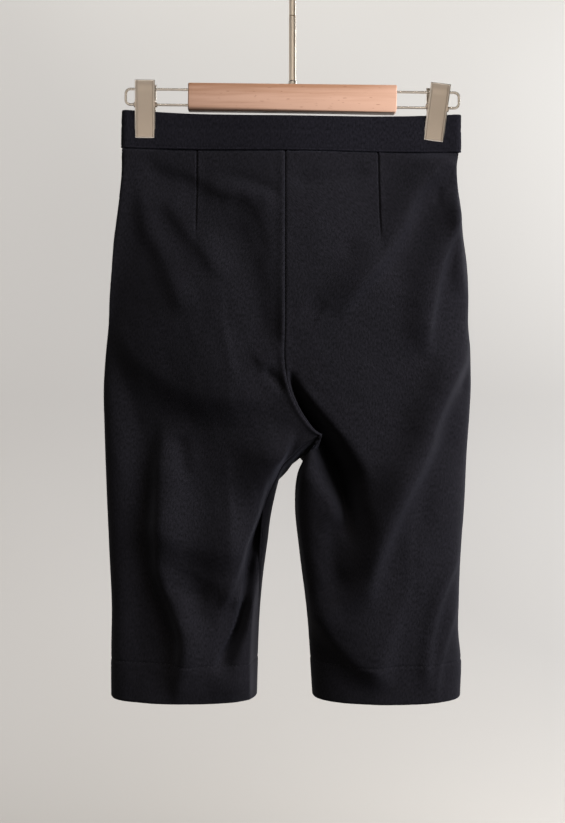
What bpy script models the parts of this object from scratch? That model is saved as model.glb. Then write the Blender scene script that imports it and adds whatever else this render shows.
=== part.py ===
"""Capri pants hung by the waistband from a clip hanger.

The origin is the point where the hook rests on a rail. X runs to the viewer's right, Y away from
the viewer and Z up. The tables give sizes in millimetres, and "drop" is a distance below the origin.
"""
import math

import bmesh
import bpy
import numpy as np
from mathutils import Matrix, Vector

MM = 0.001

# Cloth
CLOTH_WALL = 1.2
HEM_WALL = 2.0
HEM_DEPTH = 37.0
BAND_WALL = 2.0
BAND_HEIGHT = 37.5
SEAM_GAP = 0.3
TIP_GAP = 1.5            # the corners of the four panels stop this far from the crotch tip
TIP_WALL = 0.4           # and their walls thin to this there, as trimmed seams do
TIP_OPENING = 2          # how many times wider the seam gap is beside the tip
TIP_TAPER = 32.0
FLAT_HALF = 2.4          # half the thickness of the band where the clips press it flat
FLAT_SPACE = 0.25        # half the space left between the two walls there
HEM_DROP = 741.0
WAIST_DROP_LEFT = 205.6
WAIST_DROP_RIGHT = 210.2
WAIST_SAG = 2.4
WAIST_SWELL = 8.5        # how far the band opens between the clips, front and back
SWELL_HALF_WIDTH = 128.0
TIP_DROP_AT_SIDE = 476.0  # where the row of cloth that ends at the crotch tip leaves the side seam

# Mesh
ROWS_ABOVE_TIP = 13
ROWS_BELOW_TIP = 17
ROW_CROWDING_ABOVE = 1.6  # rows draw together towards the crotch tip, from above and from below
ROW_CROWDING_BELOW = 1.4
COLUMNS = {("left", "front"): 18, ("right", "front"): 22, ("left", "back"): 15, ("right", "back"): 15}
COLUMN_CROWDING = {"front": 1.3, "back": 1.6}  # and columns towards the centre seam
BACK_ROW_LAG = 0.3       # the share of the back seam that the last rows above the tip take up
BACK_ROW_LAG_POWER = 8
BAND_COLUMNS = 20
BAND_ROWS = 2
ROUND_SIDES = 16
STEM_SIDES = 24
CORNER_STEPS = 4
SPRING_STEPS = 8
HOOK_RETURN_STEPS = 6
HOOK_STEPS = 30
FOLD_STEPS = 12

# Side seams: (drop, x) of the garment's outline on the viewer's left and right.
SIDE_LEFT = (
    (165, -166.2), (206, -167.4), (232, -168.0), (262, -171.3), (291, -174.8), (320, -177.0),
    (350, -179.2), (380, -180.6), (410, -183.3), (438, -184.8), (482, -183.9), (541, -181.7),
    (600, -179.1), (658, -176.7), (690, -177.2), (741, -177.0))
SIDE_RIGHT = (
    (165, 164.5), (206, 164.4), (218, 161.8), (240, 162.0), (262, 164.8), (291, 167.0),
    (320, 170.6), (350, 172.0), (380, 171.8), (408, 173.6), (438, 174.3), (467, 172.8),
    (511, 169.6), (555, 167.5), (599, 164.2), (643, 162.4), (680, 162.0), (702, 164.2), (741, 163.4))

# Seams: (x, y, drop) from the waist to the crotch tip, and from the tip to the hem.
FRONT_SEAM = (
    (-7.5, -10.8, 210.4), (-7.5, -26, 260), (-7.5, -38, 320), (-7.5, -45, 380), (-7.2, -47, 424),
    (-3.5, -47, 441), (3, -47, 457), (11, -46, 470), (20, -45, 481), (27, -44, 486))
BACK_SEAM = (
    (-3, 10.8, 210.4), (-3, 29, 262), (-3, 47.5, 325), (-3, 59, 390), (-2, 61, 440), (0, 48, 480),
    (0, 22, 503), (9, -12, 502), (27, -44, 486))
LEFT_INSEAM = (
    (27, -44, 486), (13, -42, 493.5), (3, -38, 503), (-9, -32, 515.5), (-15, -26, 527.5),
    (-24.5, -15, 549), (-30, -6, 589), (-33, 0, 648), (-35, 1, 741))
RIGHT_INSEAM = (
    (27, -44, 486), (18, -38, 497), (9.6, -32, 508), (5.8, -26, 517), (2.6, -14, 535),
    (2.2, -5, 560), (6.5, 0, 600), (13.5, 1, 655), (19.6, 1, 741))

# Form of the cloth by its drop at the side seam: how far the front and the back stand out, how far
# the section wraps round to the inseam (0 is a flat end, 1 a closed leg), the x of each side's inner
# line before the crotch tip pulls it to the right, how far the back's rows dip under the crotch, and
# how far the back swells past the inseam on each side.
FORM_COLUMNS = ("drop", "front", "back", "wrap", "line_left", "line_right", "dip", "swell_left",
                "swell_right")
FORM = (
    (206, 10.9, 10.9, 0, -7.5, -7.5, 0, 0, 0),
    (250, 24, 26, 0, -7.5, -7.5, 0, 0, 0),
    (300, 35.5, 42, 0, -7.5, -7.5, 0, 0, 0),
    (350, 43, 53, 0, -7.5, -7.5, 0, 0, 0),
    (400, 47, 60, 0, -7.5, -7, 0, 0, 0),
    (440, 49, 63, 0, -8, -6, 2, 0, 0),
    (464, 50, 63, 0, -8.5, -5, 20, -7, 13),
    (476, 50, 62, 0, -9, -4, 34, -12, 21),
    (486, 50, 61, 0.05, -9.5, -3, 34, -9, 21),
    (500, 50, 60, 0.15, -11, -2, 29, 0, 16),
    (527, 50, 58, 0.5, -15, 0, 16, 8, 8),
    (552, 49, 56, 0.8, -22, 2, 6, 12, 3),
    (590, 47, 53, 0.95, -30, 6, 0, 10, 0),
    (648, 43, 47, 1, -33, 13, 0, 4, 0),
    (741, 38, 40, 1, -35, 19.6, 0, 0, 0))

HANG_DEPTH = 150.0       # the flat of the clips fades out over this distance below the waist
WAIST_LINE_DEPTH = 60.0  # and the line of the waistband over this one
FULLNESS = 0.85          # below 1 the sections are boxier than an ellipse
TURN_REACH = 8           # the higher, the nearer its inner edge a row turns towards the seam
PULL_REACH = 3           # the same for the pull of the crotch tip to the right
DIP_REACH = {"front": 2, "back": 5}  # and for the droop of the rows towards the crotch
SWELL_REACH = 6          # and for the back's dip and swell
FOLD_REST = 9.0          # folds fade out over this distance from a seam
FOLD_START = 30.0        # and over this one below the waistband
FOLD_TAPER = 0.7         # the lower, the blunter the ends of a fold

# Folds: face, then (x, drop) where each starts, passes and ends, its half width, and its height
# (a ridge is positive, a trough negative).
FOLD_COLUMNS = ("face", "start", "middle", "end", "width", "height")
FOLDS = (
    ("front", (-150, 215), (-95, 250), (-45, 262), 16, -3),
    ("front", (-105, 250), (-70, 300), (-30, 380), 26, 5),
    ("front", (-160, 270), (-130, 330), (-95, 400), 20, -6),
    ("front", (-178, 400), (-135, 452), (-55, 462), 24, -9),
    ("front", (-45, 430), (-25, 440), (-8, 452), 10, -5),
    ("front", (-112, 488), (-108, 510), (-100, 530), 9, -4),
    ("front", (-135, 500), (-136, 600), (-112, 715), 15, -15),
    ("front", (-165, 560), (-158, 640), (-140, 725), 15, 4),
    ("front", (-112, 650), (-105, 680), (-100, 705), 11, 6),
    ("front", (-150, 590), (-110, 608), (-75, 612), 16, -5),
    ("front", (-12, 522), (-28, 560), (-52, 650), 11, 8),
    ("front", (-42, 590), (-48, 640), (-55, 705), 10, -9),
    ("front", (-90, 470), (-70, 520), (-70, 590), 30, 4),
    ("front", (160, 385), (128, 470), (98, 575), 17, 9),
    ("front", (166, 285), (150, 330), (142, 400), 11, 5),
    ("front", (140, 240), (105, 295), (55, 370), 20, 5),
    ("front", (158, 220), (150, 228), (138, 240), 8, 3),
    ("front", (162, 600), (145, 660), (136, 730), 12, 6),
    ("front", (100, 500), (92, 530), (88, 560), 20, -10),
    ("front", (40, 595), (60, 650), (85, 670), 15, -6),
    ("front", (22, 535), (26, 570), (30, 620), 12, 5),
    ("back", (-150, 240), (-90, 320), (-20, 420), 26, 6),
    ("back", (150, 240), (95, 320), (15, 420), 24, 7),
    ("back", (-165, 330), (-130, 420), (-70, 480), 20, -6),
    ("back", (160, 330), (130, 410), (75, 480), 22, -7),
    ("back", (-60, 480), (-90, 560), (-120, 690), 18, -9),
    ("back", (60, 500), (95, 590), (110, 700), 18, -8),
    ("back", (-150, 520), (-150, 600), (-140, 700), 16, 5),
    ("back", (140, 500), (142, 600), (130, 700), 16, 5),
    ("back", (-70, 600), (-65, 660), (-70, 725), 14, 5),
    ("back", (50, 600), (60, 660), (55, 725), 14, 5))

# The deep tuck beside the crotch: where it runs, how deep the cloth falls behind the seam, and how
# wide its open side is.
TUCK_COLUMNS = ("x", "drop", "depth", "closed", "open")
TUCK = (
    (-5, 412, 0, 8, 10),
    (4, 434, 14, 10, 13),
    (18, 456, 30, 11, 17),
    (34, 482, 40, 11, 20),
    (46, 515, 38, 13, 20),
    (53, 556, 20, 17, 18),
    (60, 610, 0, 18, 18))
TUCK_LEAN = 5.0          # how far the floor of the tuck slips back under the seam

# Darts: (x, drop of the point, depth of the dimple); they start at the waist.
DARTS = ((-94, 299, 2.0), (84, 305, 2.0))
DART_WIDTH = 5.0
DART_FADE = 25.0

# Hanger
TILT = math.radians(0.55)
BAR_LENGTH = 203.8
BAR_HEIGHT = 27.4
BAR_THICKNESS = 12.0
BAR_TOP = 143.3
BAR_ARRIS = 0.8
WIRE = 2.5
WIRE_FIT = 0.3
WIRE_SPACING = 15.2
WIRE_UPPER_BELOW_BAR_TOP = 5.4
WIRE_END = 164.5
WIRE_CORNER = 4.6
WIRE_SOCKET = 12.0
CLIP_WIDTH = 20.4
CLIP_SHEET = 1.1
CLIP_COLUMNS = ("height", "out")
CLIP_SIDE = (
    (22.0, 9.4), (20.6, 8.6), (10.0, 7.0), (0.0, 5.8), (-12.0, 4.4), (-24.0, 3.5), (-33.5, 3.25))
CLIP_LEFT_X = -144.6
CLIP_RIGHT_X = 142.0
CLIP_RIGHT_SWING = math.radians(6.4)
EAR_RADIUS = 3.6
EAR_SHEET = 1.1
EAR_ARRIS = 0.4
EAR_CLEARANCE = 0.4
COLLAR_RADIUS = 2.5
COLLAR_LENGTH = 2.2
SPRING_WIRE = 1.1
SPRING_RADIUS = 2.6
SPRING_TURNS = 5
SPRING_PITCH = 1.6
SPRING_LEG = 13.0
STEM_RADIUS = 3.45
STEM_LENGTH = 67.0
STEM_PIN_RADIUS = 2.0
STEM_PIN_DEPTH = 12.0
STEM_COLLAR_RADIUS = 4.1
STEM_COLLAR_HEIGHT = 4.0
HOOK_ROD = 6.6
HOOK_INSIDE_RADIUS = 21.0
HOOK_RETURN_RADIUS = 18.0
HOOK_TIP_ANGLE = math.radians(212)
PIN_RADIUS = 1.8
PIN_DEPTH = 12.0
PIN_ROOT = 1.0           # how far a pin reaches back into its own piece

COLOURS = {
    "cloth": ((0.012, 0.012, 0.014), 0.85, 0.0),
    "beech": ((0.62, 0.37, 0.24), 0.5, 0.0),
    "nickel": ((0.52, 0.46, 0.38), 0.3, 1.0),
}


def smooth(knots, values, where):
    """A cubic curve through the values at the knots, read at the given places."""
    knots = np.asarray(knots, float)
    values = np.asarray(values, float)
    where = np.clip(np.asarray(where, float), knots[0], knots[-1])
    slopes = np.gradient(values, knots, axis=0)
    low = np.clip(np.searchsorted(knots, where) - 1, 0, len(knots) - 2)
    step = knots[low + 1] - knots[low]
    t = (where - knots[low]) / step
    if values.ndim > 1:
        t, step = t[..., None], step[..., None]
    start = (1 + 2 * t) * (1 - t) ** 2 * values[low] + t * (1 - t) ** 2 * step * slopes[low]
    end = t * t * (3 - 2 * t) * values[low + 1] + t * t * (t - 1) * step * slopes[low + 1]
    return start + end


def along(points, shares):
    """Points at shares (0 to 1) of the length of a smooth curve through the given points."""
    points = np.asarray(points, float)
    lengths = np.concatenate([[0], np.cumsum(np.linalg.norm(np.diff(points, axis=0), axis=1))])
    return smooth(lengths / lengths[-1], points, shares)


def column(table, names, name):
    return [row[names.index(name)] for row in table]


def ease(t):
    t = np.clip(t, 0, 1)
    return t * t * (3 - 2 * t)


def unit(vectors):
    return vectors / np.linalg.norm(vectors, axis=-1, keepdims=True)


def waist_drop(x):
    """Drop of the seam under the waistband, which hangs a little lower on the right."""
    left, right = SIDE_LEFT[1][1], SIDE_RIGHT[1][1]
    share = (x - left) / (right - left)
    tilt = WAIST_DROP_LEFT + (WAIST_DROP_RIGHT - WAIST_DROP_LEFT) * share
    return tilt + WAIST_SAG * np.sin(np.pi * np.clip(share, 0, 1))


def waist_depth(x, from_side):
    """How far the cloth stands out at the waist: flat at the clips, open between them."""
    opening = np.cos(np.clip(x / SWELL_HALF_WIDTH, -1, 1) * np.pi / 2) ** 2
    return FLAT_HALF * np.tanh(from_side / FLAT_HALF) + WAIST_SWELL * opening


def fold_height(face, x, drop):
    """Height of all the folds of one face at each point of its front view."""
    total = np.zeros_like(x)
    for row in FOLDS:
        fold = dict(zip(FOLD_COLUMNS, row))
        if fold["face"] != face:
            continue
        path = along((fold["start"], fold["middle"], fold["end"]), np.linspace(0, 1, FOLD_STEPS + 1))
        nearest = np.full(x.shape, np.inf)
        taper = np.zeros_like(x)
        for i in range(FOLD_STEPS):
            run = path[i + 1] - path[i]
            t = np.clip(((x - path[i][0]) * run[0] + (drop - path[i][1]) * run[1]) / (run @ run), 0, 1)
            gap = np.hypot(x - path[i][0] - t * run[0], drop - path[i][1] - t * run[1])
            closer = gap < nearest
            nearest = np.where(closer, gap, nearest)
            taper = np.where(closer, (i + t) / FOLD_STEPS, taper)
        bell = np.exp(-(nearest / fold["width"]) ** 2)
        total += fold["height"] * bell * np.sin(np.pi * taper) ** FOLD_TAPER
    return total


def dart_height(x, drop):
    """Each dart is a narrow pinched line that ends in a shallow dimple."""
    total = np.zeros_like(x)
    for dart_x, point, depth in DARTS:
        fade = ease((point - drop) / DART_FADE)
        total -= depth * np.exp(-((x - dart_x) / DART_WIDTH) ** 2) * fade
    return total


def tuck_shift(x, drop):
    """Depth of the tuck and its slip towards the seam."""
    drops = column(TUCK, TUCK_COLUMNS, "drop")
    centre = smooth(drops, column(TUCK, TUCK_COLUMNS, "x"), drop)
    depth = smooth(drops, column(TUCK, TUCK_COLUMNS, "depth"), drop)
    closed = smooth(drops, column(TUCK, TUCK_COLUMNS, "closed"), drop)
    opened = smooth(drops, column(TUCK, TUCK_COLUMNS, "open"), drop)
    width = np.where(x < centre, closed, opened)
    inside = (drop > drops[0]) & (drop < drops[-1])
    bell = np.exp(-((x - centre) / width) ** 2) * inside
    depth = np.maximum(depth, 0)
    return depth * bell, -TUCK_LEAN * bell * depth / max(column(TUCK, TUCK_COLUMNS, "depth"))


def row_shares():
    """Shares down the side seam, closer together near the crotch tip, and the tip's row."""
    above = 1 - (1 - np.linspace(0, 1, ROWS_ABOVE_TIP + 1)) ** ROW_CROWDING_ABOVE
    below = np.linspace(0, 1, ROWS_BELOW_TIP + 1) ** ROW_CROWDING_BELOW
    return above, below


def panel(side, face):
    """Outer points of one panel, from its side seam to its inner edge and from waist to hem."""
    above, below = row_shares()
    outline = SIDE_LEFT if side == "left" else SIDE_RIGHT
    inseam = LEFT_INSEAM if side == "left" else RIGHT_INSEAM
    centre = FRONT_SEAM if face == "front" else BACK_SEAM
    lag = BACK_ROW_LAG if face == "back" else 0
    seam_shares = (1 - lag) * above + lag * above ** BACK_ROW_LAG_POWER
    edge = np.concatenate([along(centre, seam_shares), along(inseam, below)[1:]])
    waist = WAIST_DROP_LEFT if side == "left" else WAIST_DROP_RIGHT
    side_drop = np.concatenate([
        waist + (TIP_DROP_AT_SIDE - waist) * above,
        TIP_DROP_AT_SIDE + (HEM_DROP - TIP_DROP_AT_SIDE) * below[1:]])
    side_x = smooth(*zip(*outline), side_drop)
    form = smooth(column(FORM, FORM_COLUMNS, "drop"), FORM, side_drop)
    form = {name: form[:, i:i + 1] for i, name in enumerate(FORM_COLUMNS)}

    u = 1 - (1 - np.linspace(0, 1, COLUMNS[side, face] + 1)[None, :]) ** COLUMN_CROWDING[face]
    end = np.pi / 2 * (1 + np.clip(form["wrap"], 0, 1))
    turn = u * end
    across = (1 - np.cos(turn)) / (1 - np.cos(end))
    depth = np.clip(np.sin(turn), 0, 1) ** FULLNESS
    sign = -1 if face == "front" else 1
    side_x, side_drop = side_x[:, None], side_drop[:, None]
    edge_x, edge_y, edge_drop = edge[:, 0:1], edge[:, 1:2], edge[:, 2:3]

    line = form["line_" + side]
    x = side_x + (line - side_x) * across + (edge_x - line) * across ** PULL_REACH
    drop = side_drop + (edge_drop - side_drop) * across ** DIP_REACH[face]
    if face == "back":
        drop = drop + form["dip"] * np.sin(np.pi * across ** SWELL_REACH)
        swell = form["swell_" + side] * np.sin(np.pi * u ** SWELL_REACH)
        x = x + (swell if side == "left" else -swell)
    hung = ease((side_drop - waist) / HANG_DEPTH)
    held = waist_depth(x, np.abs(x - side_x)) / (FLAT_HALF + WAIST_SWELL)
    out = form[face] * (held + (depth - held) * hung)
    y = sign * out + (edge_y - sign * out[:, -1:]) * across ** TURN_REACH

    near_waist = 1 - ease((side_drop - waist) / WAIST_LINE_DEPTH)
    drop = drop + (waist_drop(x[:1]) - drop[:1]) * near_waist

    points = np.stack([x, y, -drop], axis=-1)
    steps = np.linalg.norm(np.diff(points, axis=1), axis=2)
    from_side = np.concatenate([np.zeros((len(x), 1)), np.cumsum(steps, axis=1)], axis=1)
    from_edge = from_side[:, -1:] - from_side
    rest = (1 - np.exp(-(from_edge / FOLD_REST) ** 2)) * (1 - np.exp(-(from_side / (2 * FOLD_REST)) ** 2))
    rest = rest * ease((drop - waist_drop(x)) / FOLD_START)
    y = y + sign * fold_height(face, x, drop) * rest
    if face == "front":
        y = y - dart_height(x, drop) * rest.clip(0, 1)
        if side == "right":
            deeper, slip = tuck_shift(x, drop)
            near = 1 - np.exp(-(from_edge / FOLD_REST) ** 2)
            y = y + deeper * near
            x = x + slip * near
    return np.stack([x, y, -drop], axis=-1)


def outward(points, flip):
    """Unit normals of a grid of points."""
    across = np.gradient(points, axis=1)
    down = np.gradient(points, axis=0)
    return unit(np.cross(down, across) * (-1 if flip else 1))


def share(*edges):
    """Gives edges that meet one common offset direction."""
    mean = unit(sum(edges))
    for edge in edges:
        edge[...] = mean


def part_edge(points, normals, edge, inner):
    """The move that sets one edge of a panel back from its seam by half the gap."""
    tangent = np.gradient(points[:, edge], axis=0)
    away = unit(np.cross(tangent, normals[:, edge]))
    towards = points[:, inner] - points[:, edge]
    return away * np.sign(np.sum(away * towards, axis=1, keepdims=True)) * SEAM_GAP / 2


def make_shell(name, outer, inner, collection, material):
    """A closed wall between two grids of points."""
    rows, columns = outer.shape[:2]
    bm = bmesh.new()
    index = bm.verts.layers.int.new("place")
    bmesh.ops.create_grid(bm, x_segments=columns - 1, y_segments=rows - 1, size=1)
    order = sorted(bm.verts, key=lambda v: (-round(v.co.y, 5), round(v.co.x, 5)))
    for place, vert in enumerate(order):
        vert[index] = place
        vert.co = Vector(outer[divmod(place, columns)]) * MM
    bmesh.ops.triangulate(bm, faces=bm.faces[:], quad_method="SHORT_EDGE")
    walls = set(bm.faces)
    made = bmesh.ops.extrude_face_region(bm, geom=bm.faces[:], use_keep_orig=True)
    for item in made["geom"]:
        if isinstance(item, bmesh.types.BMVert):
            item.co = Vector(inner[divmod(item[index], columns)]) * MM
        elif isinstance(item, bmesh.types.BMFace):
            walls.add(item)
    for edge in bm.edges:
        edge.smooth = len(walls.intersection(edge.link_faces)) != 1
    bmesh.ops.recalc_face_normals(bm, faces=bm.faces[:])
    if bm.calc_volume(signed=True) < 0:
        bmesh.ops.reverse_faces(bm, faces=bm.faces[:])
    bm.verts.layers.int.remove(index)
    for face in bm.faces:
        face.smooth = True
    return add_object(name, bm, collection, material, smooth_angle=None)


def add_object(name, bm, collection, material, smooth_angle=40):
    """An object of the mesh, with its edges sharp above an angle unless it has its own."""
    mesh = bpy.data.meshes.new(name)
    bm.to_mesh(mesh)
    bm.free()
    if smooth_angle:
        mesh.shade_smooth()
        mesh.set_sharp_from_angle(angle=math.radians(smooth_angle))
    mesh.materials.append(material)
    obj = bpy.data.objects.new(name, mesh)
    collection.objects.link(obj)
    return obj


def make_panels(collection, material):
    grids = {key: panel(*key) for key in COLUMNS}
    normals = {key: outward(grid, key in (("left", "back"), ("right", "front")))
               for key, grid in grids.items()}
    tip = ROWS_ABOVE_TIP
    for side in ("left", "right"):
        share(normals[side, "front"][:, 0], normals[side, "back"][:, 0])
        share(normals[side, "front"][tip + 1:, -1], normals[side, "back"][tip + 1:, -1])
    for face in ("front", "back"):
        share(normals["left", face][:tip, -1], normals["right", face][:tip, -1])
    share(*(grid[tip, -1] for grid in normals.values()))

    for (side, face), outer in grids.items():
        normal = normals[side, face]
        side_move = part_edge(outer, normal, 0, 1)
        from_tip = np.linalg.norm(outer - outer[tip, -1], axis=2)
        edge_move = part_edge(outer, normal, -1, -2)
        edge_move *= 1 + (TIP_OPENING - 1) * (1 - ease(from_tip[:, -1:] / TIP_TAPER))
        edge_move[tip] = TIP_GAP * unit(outer[tip, -2] - outer[tip, -1])
        level = normal.copy()
        level[0, :, 2] = 0
        level[-1, :, 2] = 0
        level = unit(level)
        drop = -outer[:, :, 2]
        wall = CLOTH_WALL + (HEM_WALL - CLOTH_WALL) * (drop > HEM_DROP - HEM_DEPTH)
        wall = TIP_WALL + (wall - TIP_WALL) * ease(from_tip / TIP_TAPER)
        inner = outer - level * wall[..., None]
        flat = inner[:tip, :COLUMNS[side, face] // 2, 1]
        sign = -1 if face == "front" else 1
        flat[...] = sign * np.maximum(sign * flat, SEAM_GAP / 2)
        for grid in (outer, inner):
            grid[:, 0] += side_move
            grid[:, -1] += edge_move
            grid[0, :, 2] -= SEAM_GAP / 2
        make_shell(face + "_" + side, outer, inner, collection, material)


def make_waistband(collection, material):
    """Two straight bands, front and back, joined at the sides."""
    left, right = SIDE_LEFT[0][1], SIDE_RIGHT[0][1]
    low_left, low_right = SIDE_LEFT[1][1], SIDE_RIGHT[1][1]
    for face, sign in (("front", -1), ("back", 1)):
        turn = np.linspace(0, np.pi, BAND_COLUMNS + 1)
        u = (1 - np.cos(turn)) / 2
        v = np.linspace(0, 1, BAND_ROWS + 1)[:, None]
        start, end = left + (low_left - left) * v, right + (low_right - right) * v
        x = start + (end - start) * u
        from_side = np.minimum(x - start, end - x)
        out = waist_depth(x, from_side)
        drop = waist_drop(x) - BAND_HEIGHT * (1 - v)
        outer = np.stack([x, sign * out, -drop], axis=-1)
        inner_x = x + BAND_WALL * (1 - 2 * u)
        inner_out = np.maximum(out - BAND_WALL, FLAT_SPACE)
        inner = np.stack([inner_x, sign * inner_out, -drop], axis=-1)
        outer[:, (0, -1), 1] = sign * SEAM_GAP / 2
        for grid in (outer, inner):
            grid[-1, :, 2] += SEAM_GAP / 2
        make_shell("waistband_" + face, outer, inner, collection, material)


def principled(name):
    colour, roughness, metallic = COLOURS[name]
    material = bpy.data.materials.new(name)
    material.use_nodes = True
    shader = material.node_tree.nodes["Principled BSDF"]
    shader.inputs["Base Color"].default_value = (*colour, 1)
    shader.inputs["Roughness"].default_value = roughness
    shader.inputs["Metallic"].default_value = metallic
    return material


def box(name, size, collection, material, bevel=0.0):
    bm = bmesh.new()
    bmesh.ops.create_cube(bm, size=1)
    bmesh.ops.scale(bm, vec=Vector(size) * MM, verts=bm.verts[:])
    obj = add_object(name, bm, collection, material)
    if bevel:
        rounding = obj.modifiers.new("arris", "BEVEL")
        rounding.width = bevel * MM
        rounding.segments = 2
    return obj


def cylinder(name, radius, length, axis, collection, material, sides=ROUND_SIDES):
    """A cylinder centred on its own origin along X, Y or Z."""
    bm = bmesh.new()
    bmesh.ops.create_cone(bm, cap_ends=True, segments=sides, radius1=radius * MM,
                          radius2=radius * MM, depth=length * MM)
    turns = {"X": Matrix.Rotation(math.pi / 2, 3, "Y"), "Y": Matrix.Rotation(math.pi / 2, 3, "X"),
             "Z": Matrix.Identity(3)}
    bmesh.ops.rotate(bm, matrix=turns[axis], verts=bm.verts[:])
    return add_object(name, bm, collection, material)


def boolean(obj, tool, operation):
    step = obj.modifiers.new(tool.name, "BOOLEAN")
    step.operation = operation
    step.object = tool
    step.solver = "EXACT"


def wire(name, points, radius, collection, material, resolution=2):
    curve = bpy.data.curves.new(name, "CURVE")
    curve.dimensions = "3D"
    curve.bevel_depth = radius * MM
    curve.bevel_resolution = resolution
    curve.use_fill_caps = True
    spline = curve.splines.new("POLY")
    spline.points.add(len(points) - 1)
    for place, point in zip(spline.points, points):
        place.co = (*(Vector(point) * MM), 1)
    curve.materials.append(material)
    obj = bpy.data.objects.new(name, curve)
    collection.objects.link(obj)
    return obj


def hide_cutters(cutters):
    for obj in cutters.objects:
        obj.hide_render = True
        obj.display_type = "WIRE"


def place(obj, x, y, drop, tilt=0.0):
    obj.location = Vector((x, y, -drop)) * MM
    obj.rotation_euler = (0, tilt, 0)


def on_bar(x, below_top):
    """World x and drop of a point on the tilted bar, from its centre top."""
    return (x * math.cos(TILT) - below_top * math.sin(TILT),
            BAR_TOP + below_top * math.cos(TILT) + x * math.sin(TILT))


def make_bar(parts, cutters, beech):
    bar = box("hanger_bar", (BAR_LENGTH, BAR_THICKNESS, BAR_HEIGHT), parts, beech, BAR_ARRIS)
    x, drop = on_bar(0, BAR_HEIGHT / 2)
    place(bar, x, 0, drop, TILT)
    for side in (-1, 1):
        for row, below in enumerate((WIRE_UPPER_BELOW_BAR_TOP, WIRE_UPPER_BELOW_BAR_TOP + WIRE_SPACING)):
            hole = cylinder(f"socket_{side}_{row}", WIRE / 2 + WIRE_FIT,
                            2 * (WIRE_SOCKET + WIRE_FIT), "X", cutters, beech)
            hole_x, hole_drop = on_bar(side * BAR_LENGTH / 2, below)
            place(hole, hole_x, 0, hole_drop, TILT)
            boolean(bar, hole, "DIFFERENCE")
    bore = cylinder("stem_bore", STEM_PIN_RADIUS + WIRE_FIT, 2 * (STEM_PIN_DEPTH + WIRE_FIT), "Z",
                    cutters, beech)
    place(bore, 0, 0, BAR_TOP)
    boolean(bar, bore, "DIFFERENCE")


def loop_points(side):
    """Centre line of one wire loop, from its upper socket to its lower one, on the level bar."""
    inner = BAR_LENGTH / 2 - WIRE_SOCKET
    outer = WIRE_END - WIRE / 2
    upper = WIRE_UPPER_BELOW_BAR_TOP
    lower = upper + WIRE_SPACING
    flat = [(inner, upper), (BAR_LENGTH / 2, upper)]
    for corner_drop, start in ((upper + WIRE_CORNER, -90), (lower - WIRE_CORNER, 0)):
        for step in range(CORNER_STEPS + 1):
            angle = math.radians(start + 90 * step / CORNER_STEPS)
            flat.append((outer - WIRE_CORNER + WIRE_CORNER * math.cos(angle),
                         corner_drop + WIRE_CORNER * math.sin(angle)))
    flat += [(BAR_LENGTH / 2, lower), (inner, lower)]
    points = []
    for x, below in flat:
        world_x, drop = on_bar(side * x, below)
        points.append((world_x, 0, -drop))
    return points


def make_jaw(name, sign, ear_half_width, parts, cutters, material):
    """One bent sheet of a clip, with two ears that the wire passes through.

    Its origin is on the wire. The front jaw stands towards -Y, the back one towards +Y.
    """
    heights = column(CLIP_SIDE, CLIP_COLUMNS, "height")
    outs = column(CLIP_SIDE, CLIP_COLUMNS, "out")
    bm = bmesh.new()
    bmesh.ops.create_grid(bm, x_segments=1, y_segments=len(heights) - 1, size=1)
    bm.verts.ensure_lookup_table()
    levels = sorted({round(v.co.y, 5) for v in bm.verts}, reverse=True)
    for vert in bm.verts:
        row = levels.index(round(vert.co.y, 5))
        vert.co = Vector((vert.co.x * CLIP_WIDTH / 2, sign * outs[row], heights[row])) * MM
    if sign > 0:
        bmesh.ops.reverse_faces(bm, faces=bm.faces[:])
    jaw = add_object(name, bm, parts, material)
    sheet = jaw.modifiers.new("sheet", "SOLIDIFY")
    sheet.thickness = CLIP_SHEET * MM
    sheet.offset = 0
    tools = []
    for ear_side in (-1, 1):
        ear = box(f"{name}_ear_{ear_side}", (EAR_SHEET, outs_at(0) + EAR_RADIUS, 2 * EAR_RADIUS),
                  cutters, material, EAR_ARRIS)
        reach = sign * (outs_at(0) - EAR_RADIUS) / 2
        tools.append((ear, Vector((ear_side * ear_half_width, reach, 0)), "UNION"))
        if sign < 0:
            collar = cylinder(f"{name}_collar_{ear_side}", COLLAR_RADIUS, COLLAR_LENGTH, "X", cutters,
                              material)
            out_x = ear_side * (ear_half_width + COLLAR_LENGTH / 2)
            tools.append((collar, Vector((out_x, 0, 0)), "UNION"))
    hole = cylinder(f"{name}_hole", WIRE / 2 + WIRE_FIT, 2 * CLIP_WIDTH, "X", cutters, material)
    tools.append((hole, Vector((0, 0, 0)), "DIFFERENCE"))
    return jaw, tools


def make_spring(name, parts, material):
    """A torsion spring round the wire, with a leg up each handle. Its origin is on the wire."""
    steps = SPRING_TURNS * SPRING_STEPS
    half = SPRING_TURNS * SPRING_PITCH / 2
    gap = outs_at(SPRING_LEG) - CLIP_SHEET / 2 - SPRING_WIRE / 2 - WIRE_FIT
    points = [(-half, -gap, SPRING_LEG)]
    for step in range(steps + 1):
        angle = math.pi + 2 * math.pi * (SPRING_TURNS - 0.5) * step / steps
        points.append((-half + 2 * half * step / steps, SPRING_RADIUS * math.cos(angle),
                       -SPRING_RADIUS * math.sin(angle)))
    points.append((half, gap, SPRING_LEG))
    return wire(name, points, SPRING_WIRE / 2, parts, material, resolution=1)


def outs_at(height):
    """How far the middle of a jaw's sheet stands out from the wire at a height above it."""
    pairs = sorted(CLIP_SIDE)
    return float(np.interp(height, [p[0] for p in pairs], [p[1] for p in pairs]))


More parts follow.
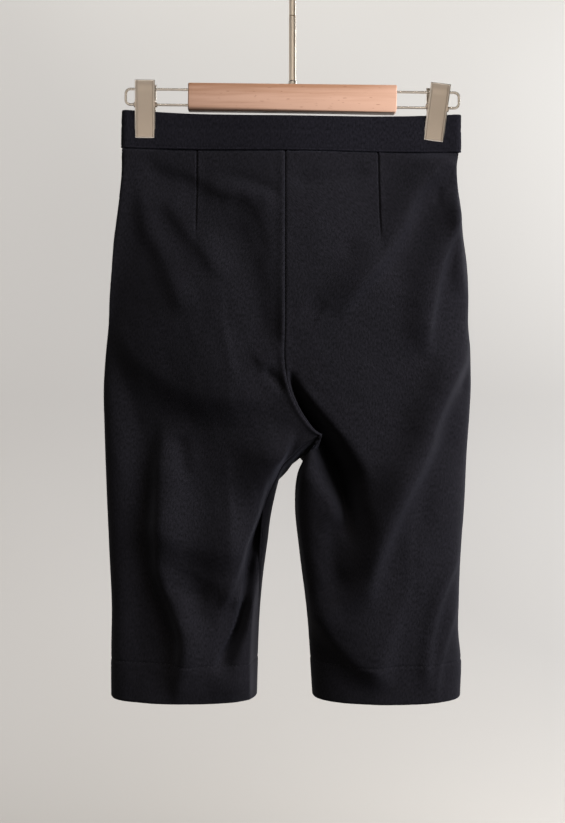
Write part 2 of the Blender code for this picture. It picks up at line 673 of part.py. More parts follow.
def make_clip(side, centre_x, swing, parts, cutters, nickel):
    pivot_below = WIRE_UPPER_BELOW_BAR_TOP + WIRE_SPACING
    x, drop = on_bar(centre_x, pivot_below)
    half = CLIP_WIDTH / 2 - EAR_SHEET / 2
    for face, sign, ear in (("front", -1, half), ("back", 1, half - EAR_SHEET - EAR_CLEARANCE)):
        angle = swing if face == "front" else 0.0
        jaw, tools = make_jaw(f"clip_{side}_{face}_jaw", sign, ear, parts, cutters, nickel)
        place(jaw, x, 0, drop, TILT + angle)
        for tool, offset, operation in tools:
            is_hole = operation == "DIFFERENCE"
            turned = Matrix.Rotation(TILT + angle, 3, "Y") @ offset
            place(tool, x + turned.x, turned.y, drop - turned.z, TILT if is_hole else TILT + angle)
            boolean(jaw, tool, operation)
    spring = make_spring(f"clip_{side}_spring", parts, nickel)
    place(spring, x, 0, drop, TILT)


def hook_points():
    """Centre line of the hook: a round bend over the rail and a return bend to the stem."""
    big = HOOK_INSIDE_RADIUS + HOOK_ROD / 2
    small = HOOK_RETURN_RADIUS
    centre_drop = HOOK_INSIDE_RADIUS
    fall = math.sqrt((big + small) ** 2 - small ** 2)
    stem_top = BAR_TOP - STEM_LENGTH
    bend_drop = centre_drop + fall
    points = [(0, 0, -(stem_top - WIRE_FIT)), (0, 0, -(bend_drop + (stem_top - bend_drop) / 2))]
    meet = math.acos(small / (big + small))
    for step in range(HOOK_RETURN_STEPS + 1):
        angle = math.pi - meet * step / HOOK_RETURN_STEPS
        points.append((small + small * math.cos(angle), 0, -bend_drop + small * math.sin(angle)))
    for step in range(1, HOOK_STEPS + 1):
        angle = -meet + (HOOK_TIP_ANGLE + meet) * step / HOOK_STEPS
        points.append((big * math.cos(angle), 0, -centre_drop + big * math.sin(angle)))
    return points


def make_stem(parts, cutters, nickel):
    foot = BAR_TOP - WIRE_FIT
    stem = cylinder("stem", STEM_RADIUS, STEM_LENGTH - WIRE_FIT, "Z", parts, nickel, STEM_SIDES)
    place(stem, 0, 0, foot - (STEM_LENGTH - WIRE_FIT) / 2)
    collar = cylinder("stem_collar", STEM_COLLAR_RADIUS, STEM_COLLAR_HEIGHT, "Z", cutters, nickel,
                      STEM_SIDES)
    place(collar, 0, 0, foot - STEM_COLLAR_HEIGHT / 2)
    pin = cylinder("stem_pin", STEM_PIN_RADIUS, STEM_PIN_DEPTH + 2 * PIN_ROOT, "Z", cutters, nickel)
    place(pin, 0, 0, foot + STEM_PIN_DEPTH / 2 - PIN_ROOT)
    bore = cylinder("hook_bore", PIN_RADIUS + WIRE_FIT, 2 * (PIN_DEPTH + WIRE_FIT), "Z", cutters, nickel)
    place(bore, 0, 0, BAR_TOP - STEM_LENGTH)
    boolean(stem, collar, "UNION")
    boolean(stem, pin, "UNION")
    boolean(stem, bore, "DIFFERENCE")


def make_hook(parts, cutters, nickel):
    rod = wire("hook_rod", hook_points(), HOOK_ROD / 2, cutters, nickel, resolution=3)
    bpy.context.view_layer.update()
    mesh = bpy.data.meshes.new_from_object(rod.evaluated_get(bpy.context.evaluated_depsgraph_get()))
    bm = bmesh.new()
    bm.from_mesh(mesh)
    bmesh.ops.remove_doubles(bm, verts=bm.verts[:], dist=0.00001)
    hook = add_object("hook", bm, parts, nickel)
    bpy.data.objects.remove(rod)
    pin = cylinder("hook_pin", PIN_RADIUS, PIN_DEPTH + 2 * PIN_ROOT, "Z", cutters, nickel)
    place(pin, 0, 0, BAR_TOP - STEM_LENGTH + PIN_DEPTH / 2 - PIN_ROOT)
    boolean(hook, pin, "UNION")


def main():
    for obj in list(bpy.data.objects):
        bpy.data.objects.remove(obj)
    parts = bpy.data.collections.new("capri_pants_on_hanger")
    cutters = bpy.data.collections.new("cutters")
    for collection in (parts, cutters):
        bpy.context.scene.collection.children.link(collection)
    cloth, beech, nickel = (principled(name) for name in ("cloth", "beech", "nickel"))
    make_panels(parts, cloth)
    make_waistband(parts, cloth)
    make_bar(parts, cutters, beech)
    for side, sign in (("left", -1), ("right", 1)):
        wire(f"wire_loop_{side}", loop_points(sign), WIRE / 2, parts, nickel)
    make_clip("left", CLIP_LEFT_X, 0.0, parts, cutters, nickel)
    make_clip("right", CLIP_RIGHT_X, CLIP_RIGHT_SWING, parts, cutters, nickel)
    make_stem(parts, cutters, nickel)
    make_hook(parts, cutters, nickel)
    hide_cutters(cutters)


main()
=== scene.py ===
import math

import bmesh
import bpy
import numpy as np
from mathutils import Matrix, Vector


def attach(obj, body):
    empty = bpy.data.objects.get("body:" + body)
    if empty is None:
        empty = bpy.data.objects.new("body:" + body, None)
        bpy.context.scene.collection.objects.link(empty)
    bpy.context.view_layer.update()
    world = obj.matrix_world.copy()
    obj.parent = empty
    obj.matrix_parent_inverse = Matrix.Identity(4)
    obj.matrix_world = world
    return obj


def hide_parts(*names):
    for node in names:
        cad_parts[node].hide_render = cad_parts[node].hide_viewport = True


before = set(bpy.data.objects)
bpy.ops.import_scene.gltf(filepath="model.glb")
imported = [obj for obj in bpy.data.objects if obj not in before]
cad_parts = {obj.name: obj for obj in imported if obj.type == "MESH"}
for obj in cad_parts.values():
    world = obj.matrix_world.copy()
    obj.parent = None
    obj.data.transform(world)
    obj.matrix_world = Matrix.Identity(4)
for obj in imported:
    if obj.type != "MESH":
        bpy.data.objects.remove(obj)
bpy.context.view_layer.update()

mm = 0.001
weld = 0.000005  # closer points than this become one
print("frame loaded")


def linear(hexColour):
    # sRGB hex to the linear values that Blender shades with
    parts = [int(hexColour[i:i + 2], 16) / 255 for i in (1, 3, 5)]
    return tuple(c / 12.92 if c <= 0.04045 else ((c + 0.055) / 1.055) ** 2.4 for c in parts) + (1.0,)


def setNode(node, values):
    # what feeds a socket is linked to it, anything else is set by attribute or socket name
    for name, value in values.items():
        if isinstance(value, bpy.types.NodeSocket):
            node.id_data.links.new(value, node.inputs[name])
        elif isinstance(name, str) and hasattr(node, name):
            setattr(node, name, value)
        else:
            node.inputs[name].default_value = value
    return node


def addNode(tree, kind, values):
    return setNode(tree.nodes.new("ShaderNode" + kind), values)


def newMaterial(name, values):
    material = bpy.data.materials.new(name)
    material.use_nodes = True
    return material, material.node_tree, setNode(material.node_tree.nodes["Principled BSDF"], values)


def addObject(name, data):
    made = bpy.data.objects.new(name, data)
    bpy.context.scene.collection.objects.link(made)
    return made


def addMesh(name, bm, material):
    mesh = bpy.data.meshes.new(name)
    bm.to_mesh(mesh)
    bm.free()
    mesh.shade_smooth()
    mesh.materials.append(material)
    return addObject(name, mesh)


def finishPiece(name, bm, material, replaces=(), sharpAngle=None):
    # every piece rides on the frame's only body
    piece = addMesh(name, bm, material)
    if sharpAngle:
        piece.data.set_sharp_from_angle(angle=math.radians(sharpAngle))
    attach(piece, "root")
    if replaces:
        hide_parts(*replaces)
    return piece


def roundEdges(bm, edges, radius, segments):
    bmesh.ops.bevel(bm, geom=edges, offset=radius * mm, affect="EDGES", segments=segments,
                    profile=0.5, material=-1)


def faceAlong(bm, number, direction):
    # turns a sheet over if that face of it looks against the direction
    bm.normal_update()
    bm.faces.ensure_lookup_table()
    if bm.faces[number].normal.dot(Vector(direction)) < 0:
        bmesh.ops.reverse_faces(bm, faces=bm.faces[:])


def spinMesh(points, steps, reach):
    # a line of points spun about the vertical
    bm = bmesh.new()
    verts = [bm.verts.new(point) for point in points]
    edges = [bm.edges.new(pair) for pair in zip(verts, verts[1:])]
    bmesh.ops.spin(bm, geom=verts + edges, cent=(0, 0, 0), axis=(0, 0, 1), angle=2 * math.pi,
                   steps=steps, use_merge=True)
    bmesh.ops.remove_doubles(bm, verts=bm.verts[:], dist=reach)
    bmesh.ops.recalc_face_normals(bm, faces=bm.faces[:])
    return bm


def makeTwill(name, deep, worn):
    # black stretch twill, woven and piece dyed: nearly no colour of its own, a soft broad gloss
    # from its fine satin-like floats, slightly blue where it turns to the light
    ribSpacing, roughness = 0.9, 0.78
    material, tree, shader = newMaterial(name, {
        "Roughness": roughness, "Specular IOR Level": 0.05, "Sheen Weight": 0.05,
        "Sheen Roughness": 0.45, "Sheen Tint": linear("#c9cbe0")})
    place = addNode(tree, "UVMap", {"uv_map": "cut"})
    # the diagonal ribs are really 0.5 mm apart, drawn at 0.9 mm so that they show close up
    turned = addNode(tree, "Mapping", {
        "Rotation": (0, 0, math.radians(63)), "Scale": (1 / (ribSpacing * mm),) * 3,
        "Vector": place.outputs["UV"]})
    # the wave's scale of pi / 10 gives one wave for each unit
    rib = addNode(tree, "TexWave", {
        "wave_type": "BANDS", "bands_direction": "X", "wave_profile": "SIN", "Scale": 0.3142,
        "Distortion": 0.6, "Detail": 1.0, "Detail Scale": 0.4, "Vector": turned.outputs["Vector"]})
    # slubs: threads a little thicker here and there, over 1.4 by 3.3 mm
    stretched = addNode(tree, "Mapping", {"Scale": (700, 300, 1), "Vector": place.outputs["UV"]})
    slub = addNode(tree, "TexNoise", {
        "Scale": 1.0, "Detail": 3.0, "Roughness": 0.6, "Vector": stretched.outputs["Vector"]})
    blend = addNode(tree, "MapRange", {
        "From Min": 0.3, "From Max": 0.7, "Value": slub.outputs["Fac"]})
    colour = addNode(tree, "Mix", {
        "data_type": "RGBA", 6: linear(deep), 7: linear(worn), "Factor": blend.outputs["Result"]})
    # the gloss changes in clouds of about 40 mm
    cloudy = addNode(tree, "TexNoise", {
        "Scale": 26.0, "Detail": 3.0, "Vector": place.outputs["UV"]})
    rough = addNode(tree, "MapRange", {
        "To Min": roughness - 0.05, "To Max": roughness + 0.08, "Value": cloudy.outputs["Fac"]})
    ribBump = addNode(tree, "Bump", {
        "Strength": 0.3, "Distance": 0.00006, "Height": rib.outputs["Fac"]})
    slubBump = addNode(tree, "Bump", {
        "Strength": 0.35, "Distance": 0.00012, "Height": slub.outputs["Fac"],
        "Normal": ribBump.outputs["Normal"]})
    setNode(shader, {"Base Color": colour.outputs[2], "Roughness": rough.outputs["Result"],
                     "Normal": slubBump.outputs["Normal"]})
    return material


def makeBeech():
    # steamed beech, sawn, sanded and clear lacquered: pinkish, straight grain along the bar with
    # short dark flecks
    wood = {"light": "#ae8b74", "mid": "#8c674d", "fleck": "#7e5b45"}
    material, tree, shader = newMaterial("beechLacquered", {
        "Roughness": 0.42, "Coat Weight": 0.12, "Coat Roughness": 0.3})
    place = addNode(tree, "TexCoord", {})
    pattern = {}
    for name, scale, detail, roughness in (
            ("grain", (9, 260, 260), 5.0, 0.62),  # streaks 110 mm long and 4 mm wide
            ("band", (3, 60, 60), 2.0, 0.5),  # broad tones, 330 by 17 mm
            ("fleck", (150, 1500, 900), 1.0, 0.3)):  # 7 by 1 mm
        way = addNode(tree, "Mapping", {"Scale": scale, "Vector": place.outputs["Object"]})
        noise = addNode(tree, "TexNoise", {
            "Scale": 1.0, "Detail": detail, "Roughness": roughness,
            "Vector": way.outputs["Vector"]})
        pattern[name] = noise.outputs["Fac"]
    fleckOnly = addNode(tree, "MapRange", {
        "From Min": 0.69, "From Max": 0.77, "Value": pattern["fleck"]})
    both = addNode(tree, "Math", {
        "operation": "MULTIPLY_ADD", 1: 0.6, 0: pattern["grain"], 2: pattern["band"]})
    tone = addNode(tree, "MapRange", {
        "From Min": 0.66, "From Max": 0.94, "Value": both.outputs["Value"]})
    body = addNode(tree, "Mix", {
        "data_type": "RGBA", 6: linear(wood["light"]), 7: linear(wood["mid"]),
        "Factor": tone.outputs["Result"]})
    flecked = addNode(tree, "Mix", {
        "data_type": "RGBA", 7: linear(wood["fleck"]), "Factor": fleckOnly.outputs["Result"],
        6: body.outputs[2]})
    bump = addNode(tree, "Bump", {
        "Strength": 0.25, "Distance": 0.00015, "Height": pattern["grain"]})
    setNode(shader, {"Base Color": flecked.outputs[2], "Normal": bump.outputs["Normal"]})
    return material


def makeNickel(name, colour, roughness):
    # nickel plated steel, brushed before plating: a warm grey metal with a soft, even gloss
    material, tree, shader = newMaterial(name, {
        "Metallic": 1.0, "Roughness": roughness, "Base Color": linear(colour)})
    place = addNode(tree, "TexCoord", {})
    # brush marks 0.2 mm wide and 6 mm long
    way = addNode(tree, "Mapping", {"Scale": (4500, 4500, 160), "Vector": place.outputs["Object"]})
    brush = addNode(tree, "TexNoise", {
        "Scale": 1.0, "Detail": 2.0, "Vector": way.outputs["Vector"]})
    rough = addNode(tree, "MapRange", {
        "To Min": roughness - 0.06, "To Max": roughness + 0.08, "Value": brush.outputs["Fac"]})
    bump = addNode(tree, "Bump", {
        "Strength": 0.12, "Distance": 0.00003, "Height": brush.outputs["Fac"]})
    setNode(shader, {"Roughness": rough.outputs["Result"], "Normal": bump.outputs["Normal"]})
    return material


twill = makeTwill("blackTwill", "#0c0c0d", "#1b1a1d")
# the waistband is the same cloth cut crosswise and pressed, in a material of its own with two slightly
# different tones
bandTwill = makeTwill("blackTwillCrosswise", "#0b0b0d", "#1b1a1e")
beech = makeBeech()
satinNickel = makeNickel("satinNickel", "#cabdb0", 0.38)
rodNickel = makeNickel("plainNickel", "#f4e8d8", 0.4)
edgeHighlightNickel = makeNickel("edgeHighlightNickel", "#fbf3e8", 0.3)  # painted highlight: a paler, glossier nickel on the jaw edges, where they catch the light
brightNickel = makeNickel("brightNickel", "#ddd5ca", 0.24)
# spun polyester thread: as black as the cloth, a little glossier
thread = newMaterial("blackThread", {"Roughness": 0.6, "Base Color": linear("#09090b")})[0]
print("materials made")


# All sizes in millimetres. "drop" is how far below the hook's rest point something is.
form = {
    "hem": 741.0, "waistLeft": 205.6, "waistRight": 210.2, "waistSag": 2.4, "waistFade": 60,
    "bandSwell": 8.5, "bandSwellHalf": 128.0, "bandFlat": 2.4, "hangDepth": 150.0,
    "tipAtSide": 476.0, "fullness": 0.85, "turnReach": 8, "pullReach": 3,
    "dipReach": {"front": 2, "back": 5}, "swellReach": 6, "backLag": 0.3, "backLagReach": 8,
    # the mesh: its rows above and below the crotch tip, its columns and how much they crowd
    "rowsAbove": 96, "rowsBelow": 92, "columns": {"front": 104, "back": 64},
    "crowdAbove": 1.6, "crowdBelow": 1.4, "crowdColumns": 0.62,
}

sideOutline = {  # drop, x
    "left": ((165, -166.2), (206, -167.4), (232, -168.0), (262, -171.3), (291, -174.8),
             (320, -177.0), (350, -179.2), (380, -180.6), (410, -183.3), (438, -184.8),
             (482, -183.9), (541, -181.7), (600, -179.1), (658, -176.7), (690, -177.2),
             (741, -177.0)),
    "right": ((165, 164.5), (206, 164.4), (218, 161.8), (240, 162.0), (262, 164.8), (291, 167.0),
              (320, 170.6), (350, 172.0), (380, 171.8), (408, 173.6), (438, 174.3), (467, 172.8),
              (511, 169.6), (555, 167.5), (599, 164.2), (643, 162.4), (680, 162.0), (702, 164.2),
              (741, 163.4)),
}
centreSeam = {  # x, y, drop from the waist to the crotch tip
    "front": ((-7.5, -10.8, 210.4), (-7.5, -26, 260), (-7.5, -38, 320), (-7.5, -45, 380),
              (-7.2, -47, 424), (-3.5, -47, 441), (3, -47, 457), (11, -46, 470), (20, -45, 481),
              (27, -44, 486)),
    "back": ((-3, 10.8, 210.4), (-3, 29, 262), (-3, 47.5, 325), (-3, 59, 390), (-2, 61, 440),
             (0, 48, 480), (0, 22, 503), (9, -12, 502), (27, -44, 486)),
}
inseam = {  # x, y, drop from the tip to the hem
    "left": ((27, -44, 486), (13, -42, 493.5), (3, -38, 503), (-9, -32, 515.5), (-15, -26, 527.5),
             (-24.5, -15, 549), (-30, -6, 589), (-33, 0, 648), (-35, 1, 741)),
    "right": ((27, -44, 486), (18, -38, 497), (9.6, -32, 508), (5.8, -26, 517), (2.6, -14, 535),
              (2.2, -5, 560), (6.5, 0, 600), (13.5, 1, 655), (19.6, 1, 741)),
}
leftRecess = (  # drop, how much further back the left front lies
    (206, 0), (400, 0), (440, 2), (476, 6), (500, 9), (527, 11), (552, 11), (590, 9), (648, 4),
    (741, 0),
)
# by the drop at the side seam: how far front and back stand out, how far the section wraps round,
# the inner line of each side, the back's dip and its swell past the inseam
sectionColumns = ("drop", "front", "back", "wrap", "left", "right", "dip", "swellLeft",
                  "swellRight")
sections = (
    (206, 10.9, 10.9, 0, -7.5, -7.5, 0, 0, 0),
    (250, 24, 26, 0, -7.5, -7.5, 0, 0, 0),
    (300, 35.5, 42, 0, -7.5, -7.5, 0, 0, 0),
    (350, 43, 53, 0, -7.5, -7.5, 0, 0, 0),
    (400, 47, 60, 0, -7.5, -7, 0, 0, 0),
    (440, 49, 63, 0.002, -8, -6, 2, 0, 0),
    (464, 50, 63, 0.012, -8.5, -5, 20, -7, 13),
    (476, 50, 62, 0.03, -9, -4, 34, -12, 21),
    (486, 50, 61, 0.065, -9.5, -3, 34, -9, 21),
    (500, 50, 60, 0.15, -11, -2, 29, 0, 16),
    (527, 50, 58, 0.5, -15, 0, 16, 8, 8),
    (552, 49, 56, 0.8, -22, 2, 6, 12, 3),
    (590, 47, 53, 0.95, -30, 6, 0, 10, 0),
    (648, 43, 47, 1, -33, 13, 0, 4, 0),
    (741, 38, 40, 1, -35, 19.6, 0, 0, 0),
)


def smoothRead(knots, values, where):
    # a cubic curve through the values at the knots
    knots, values = np.asarray(knots, float), np.asarray(values, float)
    where = np.clip(np.asarray(where, float), knots[0], knots[-1])
    slopes = np.gradient(values, knots, axis=0)
    low = np.clip(np.searchsorted(knots, where) - 1, 0, len(knots) - 2)
    step = knots[low + 1] - knots[low]
    t = (where - knots[low]) / step
    if values.ndim > 1:
        t, step = t[..., None], step[..., None]
    start = (1 + 2 * t) * (1 - t) ** 2 * values[low] + t * (1 - t) ** 2 * step * slopes[low]
    end = t * t * (3 - 2 * t) * values[low + 1] + t * t * (t - 1) * step * slopes[low + 1]
    return start + end


def lengthAlong(points, axis=0):
    # how far each point is from the first one, along a line or along one axis of a grid
    steps = np.linalg.norm(np.diff(points, axis=axis), axis=-1)
    start = np.zeros_like(np.take(steps, [0], axis=axis))
    return np.concatenate([start, np.cumsum(steps, axis=axis)], axis=axis)


def alongPath(points, shares):
    points = np.asarray(points, float)
    lengths = lengthAlong(points)
    return smoothRead(lengths / lengths[-1], points, shares)


def ease(t):
    t = np.clip(t, 0, 1)
    return t * t * (3 - 2 * t)


def bell(distance, width):
    return np.exp(-(distance / width) ** 2)


def waistDrop(x):
    left, right = sideOutline["left"][1][1], sideOutline["right"][1][1]
    share = (x - left) / (right - left)
    return (form["waistLeft"] + (form["waistRight"] - form["waistLeft"]) * share
            + form["waistSag"] * np.sin(np.pi * np.clip(share, 0, 1)))


def waistDepth(x, fromSide):
    opening = np.cos(np.clip(x / form["bandSwellHalf"], -1, 1) * np.pi / 2) ** 2
    return form["bandFlat"] * np.tanh(fromSide / form["bandFlat"]) + form["bandSwell"] * opening


# path of (x, drop) points, width on the side of its left hand margin and on the other one, height:
# a narrow side makes a steep wall, a wide one a long slope
folds = {"front": (
    # drags from the left clip, across the left front
    (((-158, 219), (-144, 223), (-127, 232), (-99, 242), (-86, 250), (-67, 261), (-50, 266),
      (-34, 272)), 15, 6, -3.3),
    (((-88, 242), (-75, 250), (-53, 254), (-30, 260), (-9, 267)), 20, 8, 3.2),
    (((-76, 232), (-53, 236), (-33, 244), (-8, 256)), 5, 4, -1.8),
    (((-130, 248), (-122, 262), (-109, 278), (-94, 299), (-80, 316), (-66, 344)), 7.5, 14, 3.3),
    (((-152, 238), (-145, 266), (-139, 291), (-127, 310), (-120, 327), (-111, 351), (-98, 380)), 9,
      15, 4.2),
    (((-60, 262), (-54, 287), (-43, 322), (-34, 358), (-25, 401), (-22, 420)), 24, 15, -5.5),
    (((-60, 250), (-38, 280), (-24, 320)), 9, 7, -1.4),
    # the broad hollow under the left hip, and the leg's outer side held back
    (((-184, 360), (-157, 400), (-134, 422), (-108, 438), (-85, 447), (-52, 449), (-20, 437)), 19,
      60, 8),
    (((-182, 200), (-180, 300), (-168, 400), (-144, 480), (-138, 540), (-140, 640), (-144, 775)),
      24, 88, -16),
    (((-28, 425), (-13, 437), (-6, 447)), 5, 5, -3.5),
    (((-36, 420), (-9, 400)), 9, 9, 1.8),
    # left leg: a wall along its outer side, a ridge along its inner one
    (((-119, 462), (-122.7, 490), (-125.6, 516), (-126.5, 547), (-126.5, 585), (-125.6, 616),
      (-119.9, 632), (-113.5, 647), (-108, 663), (-103.5, 682), (-104.8, 699), (-108.6, 713),
      (-110.4, 732), (-111, 745)), 8, 24, 14.5),
    (((-114, 646), (-106, 664), (-101, 682), (-103, 699), (-107, 716), (-109, 745)), 5, 15, 3.6),
    (((2, 476), (-7, 500), (-16, 522), (-22, 540), (-28.5, 557), (-35, 570), (-44, 588),
      (-49, 605), (-54, 620), (-60, 636), (-72, 654)), 40, 3.2, 15),
    (((-34, 618), (-39, 655), (-41, 690), (-42, 750)), 38, 3, 15),
    (((-19, 520), (-28, 558), (-38, 587), (-44, 617), (-47.5, 645), (-54.5, 671), (-76, 712)), 2.6,
      7.5, -19),
    (((-50, 640), (-58, 664), (-63, 688), (-66, 716)), 8, 9, -6),
    (((-109, 484), (-106, 505), (-101, 530)), 7, 6, -2.6),
    (((-150, 562), (-128, 574), (-108, 583), (-82, 591), (-56, 594), (-34, 590)), 18, 50, 9),
    (((-122, 628), (-102, 633), (-78, 642)), 7, 9, -2.5),
    (((-100, 632), (-92, 650), (-84, 668)), 9, 9, -3),
    # right front
    (((-4, 234), (12, 243), (40, 240), (78, 231)), 6, 7, -3),
    (((176, 205), (158, 217), (137, 234), (125, 246), (114, 264), (107, 283), (98, 298), (88, 314),
      (76, 331), (63, 345), (54, 357), (40, 380)), 24, 6, 10.5),
    (((146, 246), (133, 266), (121, 288), (110, 308), (97, 328), (84, 346)), 8, 22, -2.8),
    (((146, 244), (142, 252), (140, 264)), 4, 4, -1.6),
    (((174, 250), (159, 282), (151, 298), (144, 316), (139, 332), (134, 352), (130, 371),
      (127, 392), (125, 418)), 21, 5.5, 11),
    (((160, 246), (161, 268), (161, 292), (162, 322), (164, 356)), 9, 6, 6),
    (((51, 300), (54, 318)), 6, 6, -1.2),
    (((12, 362), (28, 372)), 12, 12, -1.8),
    (((184, 378), (171, 403), (153, 430), (142, 452), (133, 472), (126, 494), (117, 514),
      (108, 530), (99, 548), (90, 568), (82, 588), (75, 608), (66, 660)), 22, 9, 17),
    (((158, 470), (147, 491), (136, 512), (127, 532), (120, 560), (115, 600)), 6, 12, -3),
    (((176, 398), (168, 425), (160, 450)), 5, 5, -3),
    # right leg
    (((9, 488), (5, 519), (6, 548), (8, 576), (12, 605), (17, 643), (20, 690)), 5, 20, 11),
    (((44, 560), (40, 590), (40, 612), (46, 640)), 9, 12, -5),
    (((14, 640), (30, 664), (48, 686), (66, 702), (84, 710), (100, 714)), 12, 60, 11),
    (((162, 585), (158.6, 603), (149, 621), (140.6, 639), (135, 657), (131, 674), (128, 698),
      (127, 738)), 9, 4.5, 4.8),
    (((161, 640), (156.8, 653), (151, 668), (145.4, 682), (141, 697), (137.7, 711), (136, 742)), 7,
      4, 3.4),
    (((108, 575), (109, 612), (107, 660)), 5, 4, 0.9),
    (((120, 560), (122, 600), (118, 650)), 5, 4, 0.8),
), "back": (
    (((-150, 240), (-90, 320), (-20, 420)), 26, 26, 6),
    (((150, 240), (95, 320), (15, 420)), 24, 24, 7),
    (((-165, 330), (-130, 420), (-70, 480)), 20, 20, -6),
    (((160, 330), (130, 410), (75, 480)), 22, 22, -7),
    (((-60, 480), (-90, 560), (-120, 690)), 18, 18, -9),
    (((60, 500), (95, 590), (110, 700)), 18, 18, -8),
    (((-150, 520), (-150, 600), (-140, 700)), 16, 16, 5),
    (((140, 500), (142, 600), (130, 700)), 16, 16, 5),
    (((-70, 600), (-65, 660), (-70, 725)), 14, 14, 5),
    (((50, 600), (60, 660), (55, 725)), 14, 14, 5),
    (((-120, 222), (-70, 244), (-25, 258)), 9, 5, -2.2),
    (((120, 224), (70, 246), (20, 258)), 5, 9, -2.2),
    (((-130, 268), (-112, 310), (-85, 352), (-40, 410)), 13, 7, -3),
    (((132, 272), (114, 314), (88, 356), (50, 410)), 7, 13, -3),
    (((-160, 278), (-150, 320), (-142, 372)), 6, 12, 3),
    (((158, 282), (148, 324), (140, 376)), 12, 6, 3),
)}
# the deep tuck beside the crotch: x, drop, depth, width on the seam's side and on the open side
tuck = ((-6, 424, 0, 5, 5), (0, 440, 14, 5, 5), (12, 461, 31, 7, 7), (33, 492, 43, 10, 9),
        (48, 522, 40, 18, 11), (56, 553, 36, 11, 8), (59, 585, 11, 12, 12), (60, 630, 0, 12, 12))
tuckLean = {"slip": 5.0, "atDepth": 40}
fade = {  # where the folds die out
    "waist": 10, "edge": 5, "side": 6, "tuckEdge": 3.5, "ends": 0.22,
    "held": 25, "heldLeast": 0.3, "heldSoft": 0.2,
}
darts = {"left": (-93.5, 299), "right": (83.5, 305)}  # x, drop of the point


def foldHeight(face, x, drop):
    total = np.zeros_like(x)
    for path, leftWidth, rightWidth, height in folds[face]:
        steps = 5 * len(path)
        line = alongPath(path, np.linspace(0, 1, steps + 1))
        nearest = np.full(x.shape, np.inf)
        taper, sideOf = np.zeros_like(x), np.zeros_like(x)
        for i in range(steps):
            run = line[i + 1] - line[i]
            dx, dz = x - line[i][0], drop - line[i][1]
            t = np.clip((dx * run[0] + dz * run[1]) / (run @ run), 0, 1)
            gap = np.hypot(dx - t * run[0], dz - t * run[1])
            closer = gap < nearest
            nearest = np.where(closer, gap, nearest)
            taper = np.where(closer, (i + t) / steps, taper)
            sideOf = np.where(closer, dx * run[1] - dz * run[0], sideOf)
        width = leftWidth + (rightWidth - leftWidth) * (sideOf > 0)
        total += height * bell(nearest, width) * ease(np.minimum(taper, 1 - taper) / fade["ends"])
    return total


def tuckShift(x, drop):
    drops = [row[1] for row in tuck]
    centre, depth, closed, opened = (smoothRead(drops, [row[i] for row in tuck], drop)
                                     for i in (0, 2, 3, 4))
    inside = (drop > drops[0]) & (drop < drops[-1])
    hollow = bell(x - centre, np.where(x < centre, closed, opened)) * inside
    depth = np.maximum(depth, 0)
    return depth * hollow, -tuckLean["slip"] * hollow * depth / tuckLean["atDepth"]


def softNoise(x, z, cell, seed):
    # smooth unevenness: a few waves of mixed directions, the same on every run
    source = np.random.default_rng(seed)
    waves, shortest, longest, usualSum = 9, 0.7, 1.6, 4.2
    total = np.zeros_like(x)
    for _ in range(waves):
        angle, phase = source.uniform(0, 2 * np.pi, 2)
        length = cell * source.uniform(shortest, longest)
        total += np.sin((x * np.cos(angle) + z * np.sin(angle)) * 2 * np.pi / length + phase)
    return total / usualSum


seams = {
    # extra rows and columns of the mesh where the seams need them
    "waistRows": (0.5, 1.1, 1.8, 2.8, 4.2), "hemStitch": 37.0, "hemRows": np.linspace(-4, 4, 13),
    "bottomRows": (0.4, 0.9, 1.6, 2.6), "dartSpread": np.linspace(-2.8, 2.8, 15), "dartPanel": 215,
    # each groove and ridge: height and width
    "ditch": (-1.3, 1.1), "lap": (0.7, 4.0), "dart": (-1.5, 0.9), "dartLip": (0.25, 1.6),
    "waist": (-1.2, 1.4), "stitch": (-0.35, 1.3), "bottom": (-0.9, 0.9),
    "lapOff": 2.2, "lipOff": 2.2, "dartFade": 30, "turnUp": 0.25, "turnUpEase": 3,
    "dimple": 1.4, "dimpleWidth": 7, "dimpleUp": 4, "dimpleHeight": 14,
}
cloth = {
    "wall": 1.0, "hemWall": 2.0, "uneven": 0.45, "unevenCell": 46, "unevenSquash": 0.8,
    "fine": 0.2, "fineCell": 15,
    "seeds": {("left", "front"): 3, ("right", "front"): 8, ("left", "back"): 23,
              ("right", "back"): 28},
    "cuts": {("left", "front"): (0.24, 0.56), ("right", "front"): (0.26, 0.56),
             ("left", "back"): (0.26, 0.56), ("right", "back"): (0.26, 0.56)},
    "areas": {("left", "front"): 0.108, ("right", "front"): 0.112,
              ("left", "back"): 0.118, ("right", "back"): 0.112},
}


def rowShares():
    # where the rows lie, from 0 to 1 above the crotch tip and again below it
    above = 1 - (1 - np.linspace(0, 1, form["rowsAbove"] + 1)) ** form["crowdAbove"]
    run = form["tipAtSide"] - form["waistLeft"]
    above = np.sort(np.concatenate([above, np.array(seams["waistRows"]) / run]))
    below = np.linspace(0, 1, form["rowsBelow"] + 1) ** form["crowdBelow"]
    run = form["hem"] - form["tipAtSide"]
    extra = np.concatenate([1 - (seams["hemStitch"] + seams["hemRows"]) / run,
                            1 - np.array(seams["bottomRows"]) / run])
    return above, np.sort(np.concatenate([below, extra]))


